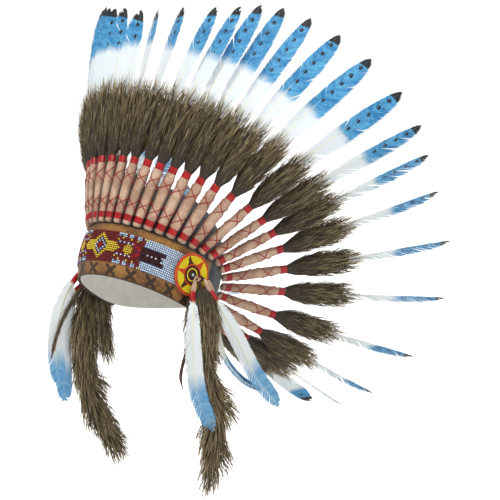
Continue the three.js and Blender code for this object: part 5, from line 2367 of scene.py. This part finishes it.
@dataclass
class Studio:
    """The camera at the photograph's angle, the soft lights and the pale floor."""

    azimuth: float = math.radians(45)
    elevation: float = math.radians(2.5)
    distance: float = 6.0
    lens: float = 320.0
    aside: float = 0.1246
    height: float = 0.0
    floor: float = -0.352
    ambient: float = 0.4

    def camera(self) -> None:
        """Sets up the camera."""
        data = bpy.data.cameras.new("camera")
        data.lens = self.lens
        data.sensor_width = 36.0
        data.clip_end = 60.0
        made = linked("camera", data)
        right = Vector((math.cos(self.azimuth), math.sin(self.azimuth), 0))
        towards = Vector((math.sin(self.azimuth), -math.cos(self.azimuth), 0))
        target = right * self.aside + Vector((0, 0, self.height))
        lift = Vector((0, 0, math.sin(self.elevation)))
        made.location = target + (towards * math.cos(self.elevation) + lift) * self.distance
        made.rotation_euler = (target - made.location).to_track_quat("-Z", "Y").to_euler()
        bpy.context.scene.camera = made

    def light(self, name: str, place: Vector, power: float, size: float) -> None:
        """Adds a soft area light that looks at the headdress."""
        data = bpy.data.lights.new(name, "AREA")
        data.energy = power
        data.size = size
        made = linked(name, data)
        made.location = place
        made.rotation_euler = (Vector((0.08, 0.05, 0.05)) - place).to_track_quat("-Z", "Y").to_euler()

    def floor_sheet(self) -> None:
        """Lays the pale floor."""
        data = MeshData()
        wide, low = 14000.0, self.floor * 1000
        corners = [[-wide, -wide, low], [wide, -wide, low], [wide, wide, low], [-wide, wide, low]]
        data.add(corners, [(0, 1, 2, 3)])
        floor = data.to_object("floor")
        material, sheet, shader = start_material("floor_paper", 0.95)
        paint(sheet, shader, sheet.blend(patches(sheet, 3.0), (0.93, 0.93, 0.93), (0.96, 0.96, 0.96)))
        shader.inputs["Emission Color"].default_value = (1.0, 1.0, 1.0, 1.0)
        seen = sheet.node("ShaderNodeLightPath").outputs["Is Camera Ray"]
        sheet.tree.links.new(sheet.ease(seen, 0.0, 1.0, 0.1, 1.0), shader.inputs["Emission Strength"])
        floor.data.materials.append(material)

    def build(self) -> None:
        """Builds the whole studio."""
        scene = bpy.context.scene
        scene.view_settings.view_transform = "Standard"
        scene.view_settings.look = "None"
        world = bpy.data.worlds.new("studio")
        world.use_nodes = True
        sheet = NodeSheet(world.node_tree)
        seen = sheet.node("ShaderNodeLightPath").outputs["Is Camera Ray"]
        ground = world.node_tree.nodes["Background"]
        ground.inputs[0].default_value = (1.0, 1.0, 1.0, 1.0)
        sheet.tree.links.new(sheet.ease(seen, 0.0, 1.0, self.ambient, 1.05), ground.inputs[1])
        scene.world = world
        self.camera()
        self.light("key", Vector((0.5, -2.0, 1.9)), 40.0, 1.1)
        self.light("side", Vector((2.3, -0.2, 0.8)), 12.0, 1.4)
        self.light("rim", Vector((-0.4, 2.0, 1.6)), 18.0, 1.2)
        self.floor_sheet()


def main() -> None:
    """Builds the headdress piece by piece."""
    logging.basicConfig(level=logging.INFO, format="%(name)s: %(message)s")
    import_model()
    Studio().build()
    glass = BeadFinish().build()
    rosettes = [Rosette(side) for side in Side]
    Cap().dress()
    BrowBand().dress()
    BeadStrip().dress(glass, rosettes)
    for rosette in rosettes:
        rosette.dress(glass)
    FeatherWork().dress()
    HangingWork(rosettes).dress()


if __name__ == "__main__":
    main()
